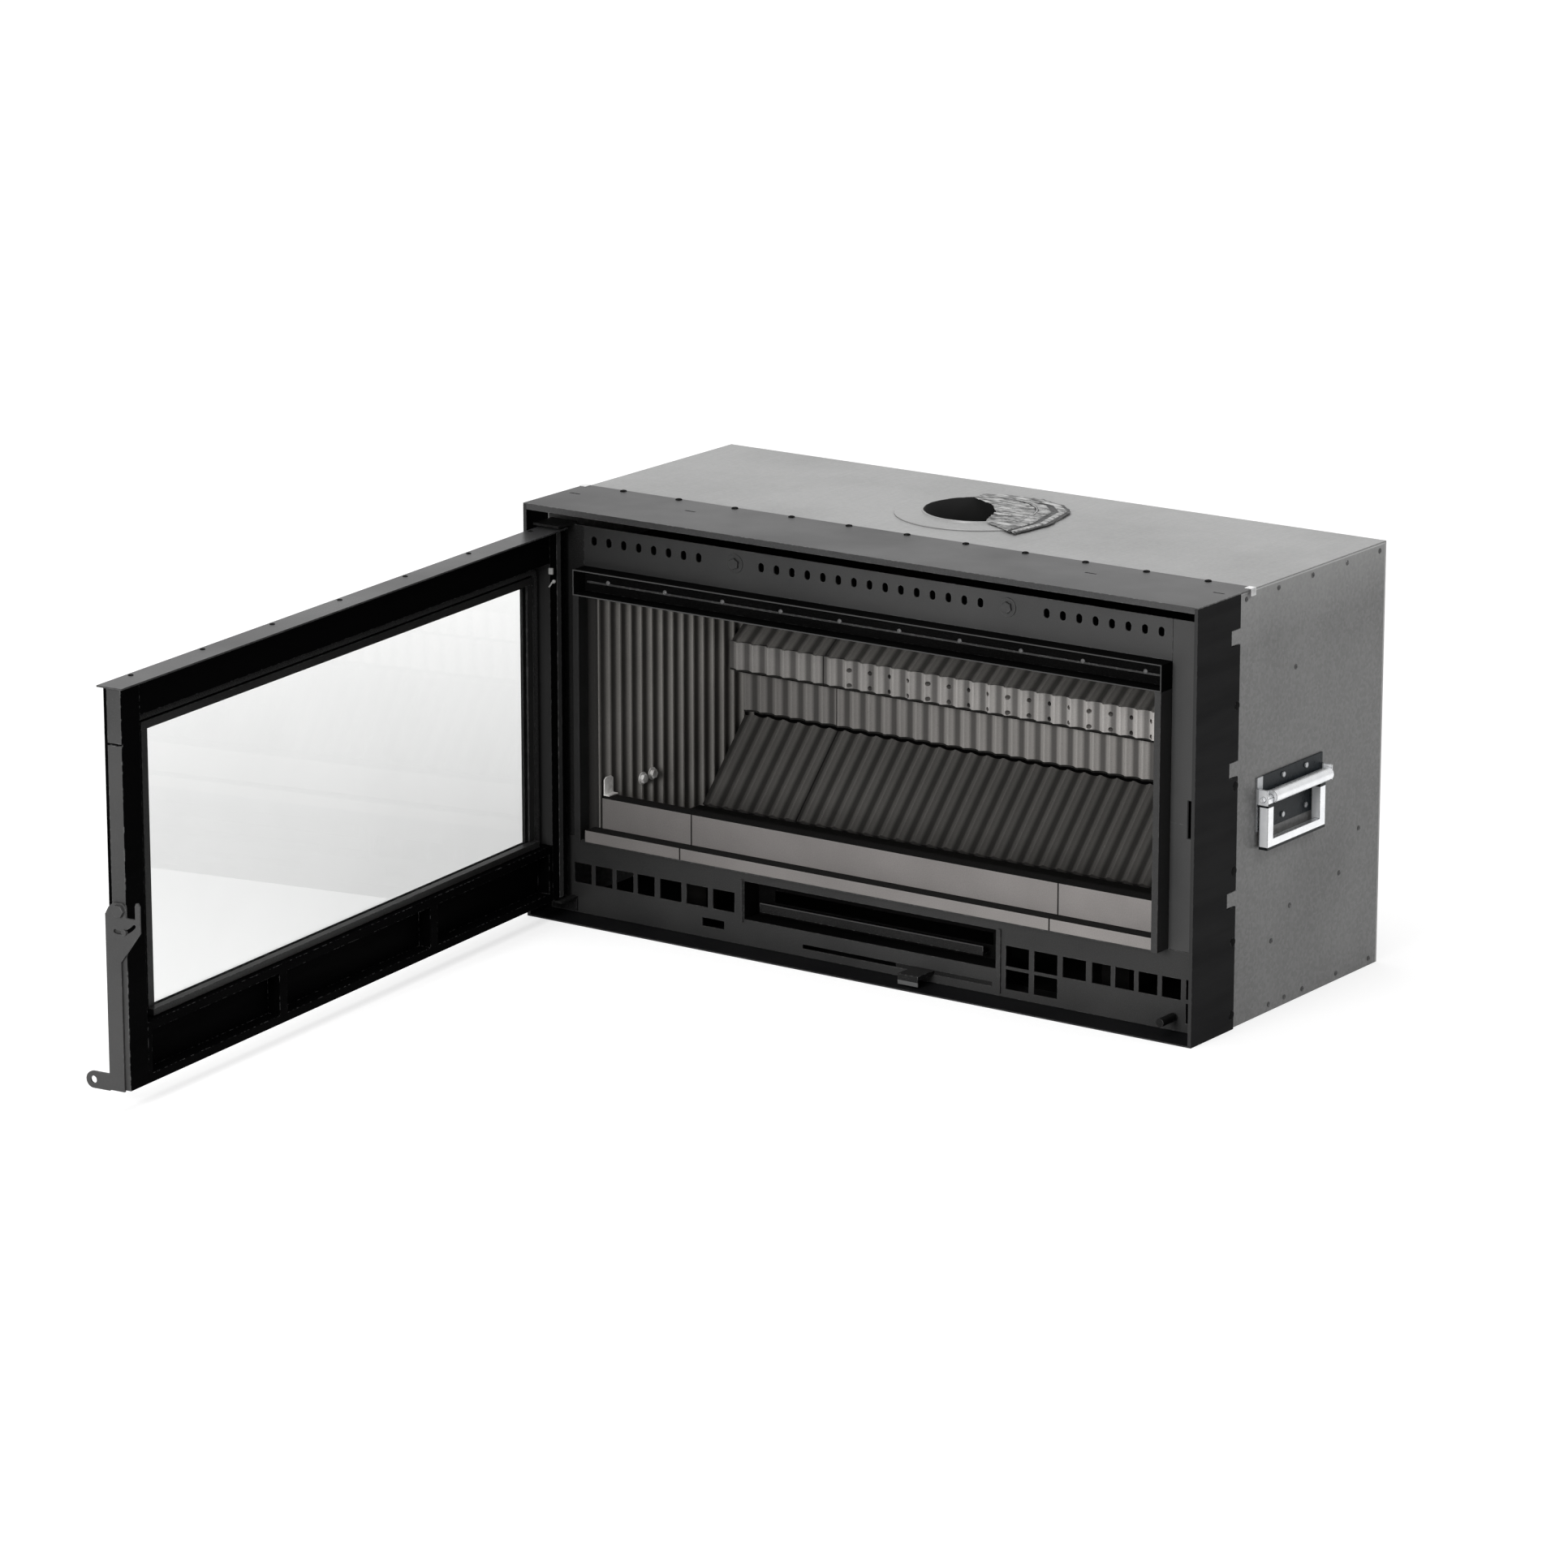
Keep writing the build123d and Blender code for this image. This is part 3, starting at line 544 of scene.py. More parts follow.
flue_finish, tree, shader, coat = sheet_finish("flue_finish", lit_top_colour, 0.34, 0.6)
ragged = times(tree, calc(tree, "SUBTRACT", wave(tree, 60, 4), 0.5), 1.2 * mm)
soot = ramp(tree, calc(tree, "ADD", from_flue(tree), ragged), 70.6 * mm, 71.6 * mm, 1, 0)
matt = times(tree, soot, 0.95)
feed(shader, {"Base Color": blend(tree, soot, coat.outputs["Colour"], grey(0.0015)),
              "Roughness": calc(tree, "MAXIMUM", coat.outputs["Roughness"], matt)})
dress("flue_collar", flue_finish, 1.4 * mm)

# A crumpled flap of thin sheet lies over the right of the bore and out over the flange.
flap_level = 543.75 * mm
foil_finish, tree, shader = new_material("foil_finish")
streak = wave(tree, 1, 4, 0.38, 0.62, stretched(tree, (50, 190, 50)))
# Painted shade: the low parts of the crumpled flap are near black.
high = ramp(tree, place_axis(tree, "Z"), flap_level + 0.55 * mm, flap_level + 1.25 * mm)
streaks_and_painted_lines = blend(tree, streak, grey(0.06), (0.46, 0.46, 0.455))
feed(shader, {"Base Color": blend(tree, high, grey(0.012), streaks_and_painted_lines), "Metallic": 0.2,
              "Roughness": ramp(tree, wave(tree, 200), 0, 1, 0.3, 0.5)})
bump(tree, shader, streak, 0.5 * mm, 0.8)

# Both edges of the flap in millimetres from the flue's axis, from the rear to the front.
hole_edge = [(-44, 54), (-5.5, 36), (20, 8), (28, -15), (38, -42), (44, -54)]
flap_edge = [(-50, 84), (18, 98), (70, 88), (99, 60), (116, -20), (108, -86)]
rim_inside, rim_middle, rim_outside = 69.6 * mm, 71.5 * mm, 73.4 * mm


def along(points, share):
    reach = share * (len(points) - 1)
    k = min(int(reach), len(points) - 2)
    part = reach - k
    return [a + (b - a) * part for a, b in zip(points[k], points[k + 1])]


def crumple(name, inside):
    """One patch of the flap: inside the bore or out on the flange, each clear of the collar's rim."""
    rows, columns, tallest, pressed = 64, 40, 1.9, 0.1
    mesh = bmesh.new()
    grid = []
    for i in range(rows + 1):
        a, b = along(hole_edge, i / rows), along(flap_edge, i / rows)
        row = []
        for j in range(columns + 1):
            x, y = [(p + (q - p) * j / columns) for p, q in zip(a, b)]
            place = Vector((x, y, 0)) * mm
            ragged = noise.noise(place * 90) * 3 * mm if j in (0, columns) or i in (0, rows) else 0
            place *= 1 + ragged / max(place.length, mm)
            radius = place.length
            place *= (min(radius, rim_inside) if inside else max(radius, rim_outside)) / radius
            folds = 0.5 + abs(noise.noise(Vector((place.x * 26, place.y * 120, 2)))) * 4.2
            folds += abs(noise.noise(place * 120)) * 0.7
            across = j / columns
            if i > rows * 0.3:  # a pressed hem runs along the flap's outer edge
                if 0.74 < across < 0.83 or across > 0.94:
                    folds = pressed
                elif across > 0.83:
                    folds = tallest
            lift = min(folds, tallest) * mm
            row.append((mesh.verts.new((place.x, flue_y + place.y, flap_level + lift)), radius))
        grid.append(row)
    for low, high in zip(grid, grid[1:]):
        for j in range(columns):
            corners = (low[j], low[j + 1], high[j + 1], high[j])
            middle = sum(radius for vert, radius in corners) / 4
            if (middle < rim_middle) == inside:
                mesh.faces.new([vert for vert, radius in reversed(corners)])
    bmesh.ops.delete(mesh, geom=[v for v in mesh.verts if not v.link_faces], context="VERTS")
    piece = bpy.data.objects.new(name, mesh_of(name, mesh))
    bpy.context.scene.collection.objects.link(piece)
    for face in piece.data.polygons:
        face.use_smooth = True
    wall = piece.modifiers.new("wall", "SOLIDIFY")
    wall.thickness = 0.15 * mm
    wall.offset = -1
    piece.data.materials.append(foil_finish)
    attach(piece, "insert")


crumple("foil_in_bore", True)
crumple("foil_on_flange", False)


# ---------------------------------------------------------------------------
# Front plate behind the door: two posts, the lower panel with its square air
# openings and the slotted upper panel. Steel sheet, matt dark grey paint.
# ---------------------------------------------------------------------------


def shade_to_left(tree, right_end, most, left_end=-0.45):
    """Painted shade: grows from 0 at the right end to its most at the left end."""
    return ramp(tree, place_axis(tree, "X"), left_end, right_end, most, 0)


plate_paint = paint("plate_paint", grey(0.046), 0.5, 0.25, dust=0.08)
# Painted shade: the upper panel darkens towards the left.
two_tone(plate_paint, lambda tree: shade_to_left(tree, 0.15, 0.72), grey(0.006))
dress("slot_panel", plate_paint)
post_paint = paint("post_paint", grey(0.046), 0.5, 0.25, dust=0.08)
slot_x, slot_z = 466.5 * mm, 269 * mm
slot_half_width, slot_half_height = 4.4 * mm, 24 * mm


# Painted shade lies round the edge of the latch slot.
def slot_shade(tree):
    beside = calc(tree, "COMPARE", place_axis(tree, "X"), slot_x, slot_half_width)
    above = calc(tree, "COMPARE", place_axis(tree, "Z"), slot_z, slot_half_height)
    return times(tree, beside, above)


two_tone(post_paint, slot_shade, grey(0.003))
dress("post_right", post_paint)
# Painted shade: the left post is a darker copy of the post paint.
dress("post_left", paint("left_post_paint", grey(0.007), 0.5, 0.08, dust=0.03))
# Painted shade: the lower panel is a darker grey than the upper, and darker still towards the left.
low_paint = paint("low_paint", grey(0.022), 0.5, 0.2, dust=0.08)
two_tone(low_paint, lambda tree: shade_to_left(tree, 0, 0.4), grey(0.006))
dress("lower_panel", low_paint)


def on_front(low, high):
    return Vector(((low.x + high.x) / 2, low.y + 5.2 * mm, (low.z + high.z) / 2)), Vector((0, -1, 0))


washer_head = turned("bolt_head", [(4, -7), (4, 0), (12, 0), (12, 1.0), (11.7, 1.2), (7.0, 1.2), (7.0, 1.3),
                                   (6.2, 1.5)], sides=24)
hexagon = bmesh.new()
hexagon.from_mesh(washer_head.data)
skin(hexagon, [[hexagon.verts.new((x, y, height)) for x, y in circle(radius, 6)]
               for radius, height in ((7.5 * mm, 1.0 * mm), (7.5 * mm, 4.6 * mm), (6.5 * mm, 5.2 * mm))])
hexagon.to_mesh(washer_head.data)
hexagon.free()
fixings("panel_bolts", "slot_panel_bolts", "insert", washer_head, plate_paint, on_front)


# ---------------------------------------------------------------------------
# Lip of the fire opening with the air-wash channel above it: folded sheet,
# the channel held by ten domed rivets, near black inside as painted shade
# and grey along its front edges as painted highlight.
# ---------------------------------------------------------------------------

lip_paint = paint("lip_paint", grey(0.028), 0.5, 0.2, dust=0.08)
# Painted shade: the left half of the lip is darker.
two_tone(lip_paint, lambda tree: calc(tree, "LESS_THAN", place_axis(tree, "X"), 0.0), grey(0.014))
for name in ("lip_left", "lip_right"):
    dress(name, lip_paint)
channel_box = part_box("airwash_channel")
channel_shade_black = paint("channel_shade_black", grey(0.0015), 0.6, 0.02, dust=0.01, grain=0.03, wear=0.1)
# Painted highlight: grey along the channel's front edges.
two_tone(channel_shade_black, lambda tree: calc(
    tree, "LESS_THAN", place_axis(tree, "Y"), channel_box[0].y + 0.8 * mm), grey(0.07))
dress("airwash_channel", channel_shade_black, 0.2 * mm)


def on_channel(low, high):
    return Vector(((low.x + high.x) / 2, high.y, (low.z + high.z) / 2)), Vector((0, -1, 0))


rivet_head = turned("rivet_head", [(3.2, 0), (3.1, 0.6), (2.7, 1.1), (1.9, 1.5), (0.8, 1.7)], sides=14)
rail = bmesh.new()
rail_y, rail_half = channel_box[1].y - 1.5 * mm, 433 * mm
bar(rail, (-rail_half, rail_half), (rail_y - 1.2 * mm, rail_y), (440.0 * mm, 442.4 * mm))
rail_paint = paint("rail_paint", grey(0.032), 0.45, 0.2, wear=0.6)
hard_piece("channel_rail", rail, rail_paint, "insert", 0.2 * mm)
rivet_grey = paint("rivet_grey", grey(0.11), 0.4, 0.4, wear=1.0)
fixings("channel_rivets", "airwash_rivets", "insert", rivet_head, rivet_grey, on_channel)


# ---------------------------------------------------------------------------
# Firebox: welded shell of 3 mm plate on four feet, with the air duct behind
# the upper row. Matt heat-proof paint, sooted, and near black as painted
# shade where the feet show through the squares.
# ---------------------------------------------------------------------------

soot_and_shade_black = (0.003, 0.0028, 0.0026)
# Near black: soot on the shell, and painted shade where its feet show through the squares.
shell_paint = paint("shell_paint", soot_and_shade_black, 0.85, 0.03, dust=0.01, grain=0.03, wear=0.1)
for name in ("shell_left", "shell_right", "shell_back", "shell_roof", "shell_floor", "air_duct"):
    dress(name, shell_paint)


# ---------------------------------------------------------------------------
# Linings: cast refractory with upright flutes, laid in loose against the
# shell. Matt, sandy, with small pits; painted shade darkens the pits and the
# grooves.
# ---------------------------------------------------------------------------

side_pitch, row_pitch, block_seam = 22.6 * mm, 24.6 * mm, 272 * mm
soot_and_shade_brown, near_black_stone = (0.02, 0.019, 0.018), (0.006, 0.0055, 0.005)

cast, take, give = new_group(
    "cast_refractory",
    [("Colour", "Color", (0.2, 0.19, 0.18)), ("Pits", "Float", 0.5), ("Soot", "Float", 0.2),
     ("Along", "Vector", (1, 0, 0)), ("Pitch", "Float", row_pitch), ("First", "Float", 0.0),
     ("Groove", "Float", 0.0), ("Seam", "Float", -1.0)],
    [("Colour", "Color"), ("Roughness", "Float"), ("Height", "Float")])
sand = wave(cast, 700)
patch = wave(cast, 9, 4)
holes = put(cast, "ShaderNodeTexVoronoi", {"Vector": own_place(cast), "Scale": 210.0}).outputs["Distance"]
pit = times(cast, ramp(cast, holes, 0.06, 0.16, 1, 0), wave(cast, 60, 2, 0.52, 0.6))
pit = times(cast, pit, take["Pits"], clamp=True)
tone = calc(cast, "ADD", 0.9, times(cast, sand, 0.12))
tone = calc(cast, "ADD", tone, times(cast, calc(cast, "SUBTRACT", patch, 0.5), 0.14))
toned = scaled(cast, take["Colour"], tone)
# Painted shade darkens the pits.
pitted = blend(cast, times(cast, pit, 0.6), toned, (0.03, 0.028, 0.026))
sooty = times(cast, wave(cast, 4, 4, 0.3, 0.7), take["Soot"], clamp=True)
sooted = blend(cast, sooty, pitted, soot_and_shade_brown)
# Painted shade darkens the grooves between the ridges, and the seams are dark joints.
distance = vector_calc(cast, "DOT_PRODUCT", own_place(cast), take["Along"])
phase = calc(cast, "DIVIDE", calc(cast, "SUBTRACT", distance, take["First"]), take["Pitch"])
crest = calc(cast, "COSINE", times(cast, phase, math.tau))
groove_shade = times(cast, ramp(cast, crest, 0.25, -0.8), take["Groove"], clamp=True)
gap = calc(cast, "COMPARE", calc(cast, "ABSOLUTE", distance), take["Seam"], 1.1 * mm)
groove_shade_and_joints = calc(cast, "MAXIMUM", groove_shade, times(cast, gap, 0.9))
feed(give, {"Colour": blend(cast, groove_shade_and_joints, sooted, near_black_stone),
            "Roughness": ramp(cast, sand, 0, 1, 0.8, 0.95),
            "Height": calc(cast, "SUBTRACT", times(cast, sand, 0.3), pit)})


def refractory(name, colour, soot=0.2, pits=0.5, **flutes):
    return finish_from(cast, name, 0.15, 0.35 * mm, 0.6, Colour=colour, Soot=soot, Pits=pits, **flutes)[0]


# The side linings darken towards the front, and their front edge is near black as painted shade.
side_front, side_first = -171 * mm, -168.4 * mm


def darker_to_front(tree):
    depth = place_axis(tree, "Y")
    edge = calc(tree, "LESS_THAN", depth, side_front)
    return calc(tree, "MAXIMUM", edge, ramp(tree, depth, side_front - 4 * mm, -50 * mm, 0.55, 0))


side_stone = refractory("side_stone", (0.36, 0.345, 0.325), 0.15, Along=(0, 1, 0), Pitch=side_pitch,
                        First=side_first, Groove=0.55)
two_tone(side_stone, darker_to_front, (0.025, 0.024, 0.023))
for name in ("lining_left", "lining_right"):
    dress(name, side_stone)


# Painted shade across the back grows towards the left, and a dark joint runs under each row.
def back_shade_and_joint(name):
    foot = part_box(name)[0].z

    def share(tree):
        joint = calc(tree, "LESS_THAN", place_axis(tree, "Z"), foot + 2.6 * mm)
        return calc(tree, "MAXIMUM", joint, shade_to_left(tree, 0.4, 0.62, -0.4))
    return share


row_stone = refractory("row_stone", (0.78, 0.75, 0.72), 0.1, First=row_pitch / 2, Groove=0.68,
                       Seam=block_seam)
dress("air_row", two_tone(row_stone, back_shade_and_joint("air_row"), soot_and_shade_brown))
# Painted shade: the crown strip is a darker copy of the row stone.
dress("crown_strip", refractory("crown_stone", (0.2, 0.192, 0.18), 0.2, First=row_pitch / 2, Groove=0.7,
                                Seam=block_seam))
low_stone = refractory("low_stone", (0.58, 0.555, 0.53), 0.1, Groove=0.72, Seam=block_seam)
dress("lower_row", two_tone(low_stone, back_shade_and_joint("lower_row"), soot_and_shade_brown))
# Painted shade: the slope panels are a darker copy of the row stone.
dress("slope_panels", refractory("slope_stone", (0.125, 0.12, 0.113), 0.15, First=row_pitch / 2, Groove=0.75,
                                 Seam=block_seam))
floor_stone = refractory("floor_stone", near_black_stone, 0.1)
for name in ("hearth_floor", "baffle"):
    dress(name, floor_stone)


# ---------------------------------------------------------------------------
# Log guard and hearth front: plain cast blocks in three lengths, smooth and
# warmer grey, standing loose on the floor. Painted shade covers the blocks'
# tops and the gap between the two rows, and darkens them towards the left.
# ---------------------------------------------------------------------------


# Painted shade on faces turned up and towards the left.
def shade_on_top(tree):
    return calc(tree, "MAXIMUM", facing(tree, (0, 0, 1), 0.5, 0.7), shade_to_left(tree, 0.35, 0.5, -0.4))


guard_stone = refractory("guard_stone", (0.285, 0.268, 0.26), 0.05, 0.2, Seam=276 * mm)
dress("log_guard", two_tone(guard_stone, shade_on_top, soot_and_shade_black), 0.6 * mm)
hearth_stone = refractory("hearth_stone", (0.31, 0.292, 0.282), 0.05, 0.2, Seam=278 * mm)
dress("hearth_front", two_tone(hearth_stone, shade_on_top, soot_and_shade_black), 0.6 * mm)


# ---------------------------------------------------------------------------
# Lining clip and bolts: a bent tab of bright sheet and two hex heads that
# hold the left lining to the shell.
# ---------------------------------------------------------------------------

clip_metal, tree, shader = new_material("clip_metal")
heat = wave(tree, 70, 4)
feed(shader, {"Base Color": blend(tree, heat, (0.85, 0.84, 0.82), (0.4, 0.38, 0.36)), "Metallic": 0.1,
              "Roughness": ramp(tree, wave(tree, 300, 2), 0, 1, 0.4, 0.6)})
bump(tree, shader, heat, 0.1 * mm)

lining_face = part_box("lining_left")[1].x
clip_y, clip_z, clip_half, clip_sheet = -153 * mm, 158 * mm, 9.5 * mm, 1.5 * mm
shoulder, clip_height, tip_half = 21 * mm, 24 * mm, 5 * mm
low, high = clip_y - clip_half, clip_y + clip_half
clip = bmesh.new()
prism(clip, [(low, clip_z), (high, clip_z), (high, clip_z + shoulder),
             (clip_y + tip_half, clip_z + clip_height), (clip_y - tip_half, clip_z + clip_height),
             (low, clip_z + shoulder)], lining_face, lining_face + clip_sheet)
bar(clip, (lining_face + clip_sheet, lining_face + 9 * mm), (low, high), (clip_z, clip_z + clip_sheet))
hard_piece("lining_clip", clip, clip_metal, "insert")

bolts = bmesh.new()
for y, z in ((-79 * mm, 163 * mm), (-58 * mm, 165 * mm)):
    for radius, start, end, sides in ((8.5 * mm, 0, 1.2 * mm, 20), (6.2 * mm, 1.2 * mm, 5.5 * mm, 6)):
        outline = [(y + across, z + up) for across, up in circle(radius, sides)]
        prism(bolts, outline, lining_face + start, lining_face + end)
hard_piece("lining_bolts", bolts, clip_metal, "insert")


# ---------------------------------------------------------------------------
# Controls: a damper bar inside the recess, an air slider with a bent tab and
# a pull rod with a round knob. Black-painted steel.
# ---------------------------------------------------------------------------

bar_paint = paint("bar_paint", grey(0.006), 0.5, 0.1, dust=0.05, wear=1.0)
bar_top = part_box("damper_bar")[1].z
# Painted highlight: a lighter grey along the damper bar's top edge.
two_tone(bar_paint, lambda tree: calc(
    tree, "GREATER_THAN", place_axis(tree, "Z"), bar_top - 1.0 * mm), grey(0.08))
slider_paint = paint("slider_paint", grey(0.006), 0.45, 0.1, dust=0.04, wear=1.0)
tab_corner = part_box("air_slider")[0]


# The tip of the slider's tab is worn.
def tab_tip(tree):
    below = calc(tree, "LESS_THAN", place_axis(tree, "Z"), tab_corner.z + 5.5 * mm)
    ahead = calc(tree, "LESS_THAN", place_axis(tree, "Y"), tab_corner.y + 2.2 * mm)
    return times(tree, below, ahead)


two_tone(slider_paint, tab_tip, grey(0.11))
# The control box's inside is near black as painted shade.
dress("control_box", inside_shade_black)
dress("damper_bar", bar_paint)
dress("air_slider", slider_paint)
dress("pull_rod", paint("control_paint", grey(0.004), 0.45, 0.1, dust=0.03, grain=0.06))
dress("latch_keeper", post_paint)


# ---------------------------------------------------------------------------
# Hinges: a bracket and pin at the top and at the bottom of the left post,
# bent from steel plate and painted black.
# ---------------------------------------------------------------------------

hinge_paint = paint("hinge_paint", grey(0.006), 0.5, 0.05, dust=0.02, wear=0.1)
for name in ("hinge_top", "hinge_bottom"):
    dress(name, hinge_paint)


# ---------------------------------------------------------------------------
# Door: two stiles and two rails of folded sheet with a cover plate on top,
# hung on the left. Satin black paint, made near black and almost without
# gloss as painted shade, with painted light on faces turned to the front.
# ---------------------------------------------------------------------------

# Painted shade: the frame's paint is near black with almost no gloss.
door_paint = paint("door_paint", (0.0008, 0.0008, 0.0009), 0.6, 0.006, dust=0.0, grain=0.012, wear=0.5)
for name in ("door_stile_latch", "door_rail_top", "door_rail_bottom"):
    dress(name, door_paint)
stile_paint = paint("hinge_stile_paint", (0.001, 0.001, 0.0011), 0.6, 0.01, dust=0.0, grain=0.02, wear=0.5)
# Painted light: the hinge stile's faces turned to the front are lighter above its foot.
two_tone(stile_paint, lambda tree: times(
    tree, lit_from_front(tree), calc(tree, "GREATER_THAN", place_axis(tree, "Z"), 70 * mm)), grey(0.022))
dress("door_stile_hinge", stile_paint)
dress("door_top_plate", paint("door_top_paint", (0.02, 0.02, 0.021), 0.34, 0.5, dust=0.08))
dress("glass_retainer", paint("retainer_paint", grey(0.008), 0.45, 0.12, dust=0.05))
fixings("door_screws", "door_top_screws", "door", side_head, screw_black, on_top)

# What the scene adds to the door is laid out on the closed door and swung open with it.
hinge = next(j for j in frame["record"]["behaviour"]["joints"] if j["name"] == "door_hinge")
hinge_place = Vector(hinge["pos_m"])
opened = Matrix.Translation(hinge_place) @ Matrix.Rotation(-math.radians(hinge["range_deg"][1]), 4, "Z")
opened = opened @ Matrix.Translation(-hinge_place)

# A grey strip of painted light closes the free end of the latch stile, in two lengths.
lit_strip_paint = paint("lit_strip_paint", grey(0.036), 0.45, 0.25, wear=0.6)
strip = bmesh.new()
for low, high in ((27.5 * mm, 440.3 * mm), (443.2 * mm, 509.5 * mm)):
    bar(strip, (481.0 * mm, 481.25 * mm), (-210.8 * mm, -191.6 * mm), (low, high), opened)
hard_piece("stile_end_strip", strip, lit_strip_paint, "door", 0)

# The hinge stile's hem shows as a grey edge of painted light, and a small spring catch sits at its top.
hem_y, hem_thick = -191 * mm, 0.6 * mm
hem = bmesh.new()
bar(hem, (-470 * mm, -461 * mm), (hem_y, hem_y + hem_thick), (28 * mm, 509 * mm), opened)
hard_piece("hinge_stile_hem", hem, lit_strip_paint, "door", 0)
catch_x = -444 * mm
catch = bmesh.new()
bar(catch, (catch_x, catch_x + 2.5 * mm), (hem_y, -185 * mm), (457 * mm, 465 * mm), opened)
prism(catch, [(-192 * mm, 440 * mm), (-190 * mm, 440 * mm), (-184.5 * mm, 448 * mm), (-186.5 * mm, 448 * mm)],
      catch_x, catch_x + 2 * mm, opened)
bmesh.ops.create_icosphere(catch, subdivisions=2, radius=2.5 * mm,
                           matrix=opened @ Matrix.Translation((catch_x + mm, -184 * mm, 448 * mm)))
catch_plated = paint("catch_plated", (0.35, 0.35, 0.34), 0.4, 0.4, wear=0.2)
hard_piece("hinge_catch", catch, catch_plated, "door", 0.2 * mm)


# ---------------------------------------------------------------------------
# Glass: clear heat-proof pane, 4 mm, set behind the leaf of the frame. Faint
# haze lies on it in clouds.
# ---------------------------------------------------------------------------


def resurface(tree, ending):
    """Ends a material's tree in another shader."""
    feed(next(n for n in tree.nodes if n.type == "OUTPUT_MATERIAL"), {"Surface": ending.outputs[0]})


clear_glass, tree, shader = new_material("clear_glass")
haze = wave(tree, 6, 5, 0.45, 0.7)
feed(shader, {"Transmission Weight": 1.0, "IOR": 1.47,
              "Base Color": blend(tree, haze, (0.91, 0.915, 0.91), (0.89, 0.895, 0.89)),
              "Roughness": ramp(tree, haze, 0, 1, 0.0, 0.03)})
shadow_ray = put(tree, "ShaderNodeLightPath").outputs["Is Shadow Ray"]
clear = put(tree, "ShaderNodeBsdfTransparent").outputs[0]
resurface(tree, put(tree, "ShaderNodeMixShader", {0: shadow_ray, 1: shader.outputs[0], 2: clear}))
dress("door_glass", clear_glass, 0)


# ---------------------------------------------------------------------------
# Gasket: braided glass rope, black, pressed round the top and both sides of
# the pane. Strands wind both ways along one path.
# ---------------------------------------------------------------------------

rope_tree, take, give = new_group(
    "rope",
    [("Geometry", "Geometry"), ("Strands", "Int"), ("Pitch", "Float"), ("Width", "Float"), ("Depth", "Float"),
     ("Strand", "Float"), ("Corner", "Float"), ("Across", "Vector"), ("Finish", "Material")],
    [("Geometry", "Geometry")], "GeometryNodeTree")
line = put(rope_tree, "GeometryNodeMeshToCurve", {0: take["Geometry"]}).outputs[0]
bend = put(rope_tree, "GeometryNodeFilletCurve", {"Curve": line, "Radius": take["Corner"], "Count": 6},
           mode="POLY").outputs[0]
steps = put(rope_tree, "GeometryNodeResampleCurve", {"Curve": bend, "Length": 2.4 * mm},
            mode="LENGTH").outputs[0]
copies = put(rope_tree, "GeometryNodeDuplicateElements", {"Geometry": steps, "Amount": take["Strands"]},
             domain="SPLINE")
number = copies.outputs["Duplicate Index"]
length = put(rope_tree, "GeometryNodeSplineParameter").outputs["Length"]
side = calc(rope_tree, "SUBTRACT", times(rope_tree, calc(rope_tree, "MODULO", number, 2.0), 2.0), 1.0)
turns = times(rope_tree, calc(rope_tree, "DIVIDE", length, take["Pitch"]), side)
share = calc(rope_tree, "DIVIDE", number, take["Strands"])
angle = times(rope_tree, calc(rope_tree, "ADD", turns, share), math.tau)
ups = times(rope_tree, calc(rope_tree, "SINE", angle), take["Depth"])
outs = times(rope_tree, calc(rope_tree, "COSINE", angle), take["Width"])
way = put(rope_tree, "GeometryNodeInputTangent").outputs[0]
beside = vector_calc(rope_tree, "CROSS_PRODUCT", way, take["Across"])
shift = vector_calc(rope_tree, "ADD", scaled(rope_tree, take["Across"], ups), scaled(rope_tree, beside, outs))
wound = put(rope_tree, "GeometryNodeSetPosition", {"Geometry": copies.outputs[0], "Offset": shift}).outputs[0]
section = put(rope_tree, "GeometryNodeCurvePrimitiveCircle", {"Resolution": 5, "Radius": take["Strand"]})
strands = put(rope_tree, "GeometryNodeCurveToMesh", {"Curve": wound, "Profile Curve": section.outputs[0],
                                                     "Fill Caps": True}).outputs[0]
hand_over(rope_tree, give, strands, take["Finish"])

rope_fibre, tree, shader = new_material("rope_fibre", 0.15)
fibres = wave(tree, 900)
feed(shader, {"Base Color": blend(tree, fibres, grey(0.008), grey(0.03)),
              "Roughness": ramp(tree, fibres, 0, 1, 0.75, 0.95)})
bump(tree, shader, fibres, 0.2 * mm)

rope_x, rope_y, rope_top, rope_foot = 434 * mm, -208 * mm, 461.5 * mm, 104 * mm
path = bpy.data.meshes.new("gasket_rope")
path.from_pydata([(-rope_x, rope_y, rope_foot), (-rope_x, rope_y, rope_top), (rope_x, rope_y, rope_top),
                  (rope_x, rope_y, rope_foot)], [(0, 1), (1, 2), (2, 3)], [])
rope = grow(bpy.data.objects.new("gasket_rope", path), rope_tree, Strands=12, Pitch=26 * mm, Width=4.1 * mm,
            Depth=2.1 * mm, Strand=1.25 * mm, Corner=9 * mm, Across=(0.0, 1.0, 0.0), Finish=rope_fibre)
rope.data.transform(opened)
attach(rope, "door")
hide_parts("door_gasket")


# ---------------------------------------------------------------------------
# Latch: a flat steel lever on the door's free end with a hook, an arc slot
# round its stop pin and a tab with a hole for the lifting tool.
# ---------------------------------------------------------------------------

lever_paint = paint("lever_paint", grey(0.04), 0.42, 0.3)
for name in ("latch_lever", "latch_bolt"):
    dress(name, lever_paint)


# ---------------------------------------------------------------------------
# Carry handles: a dark plate screwed to the body's side with a bright zinc
# bail that folds down on its barrel.
# ---------------------------------------------------------------------------


def from_middle(tree):
    return calc(tree, "ABSOLUTE", place_axis(tree, "X"))


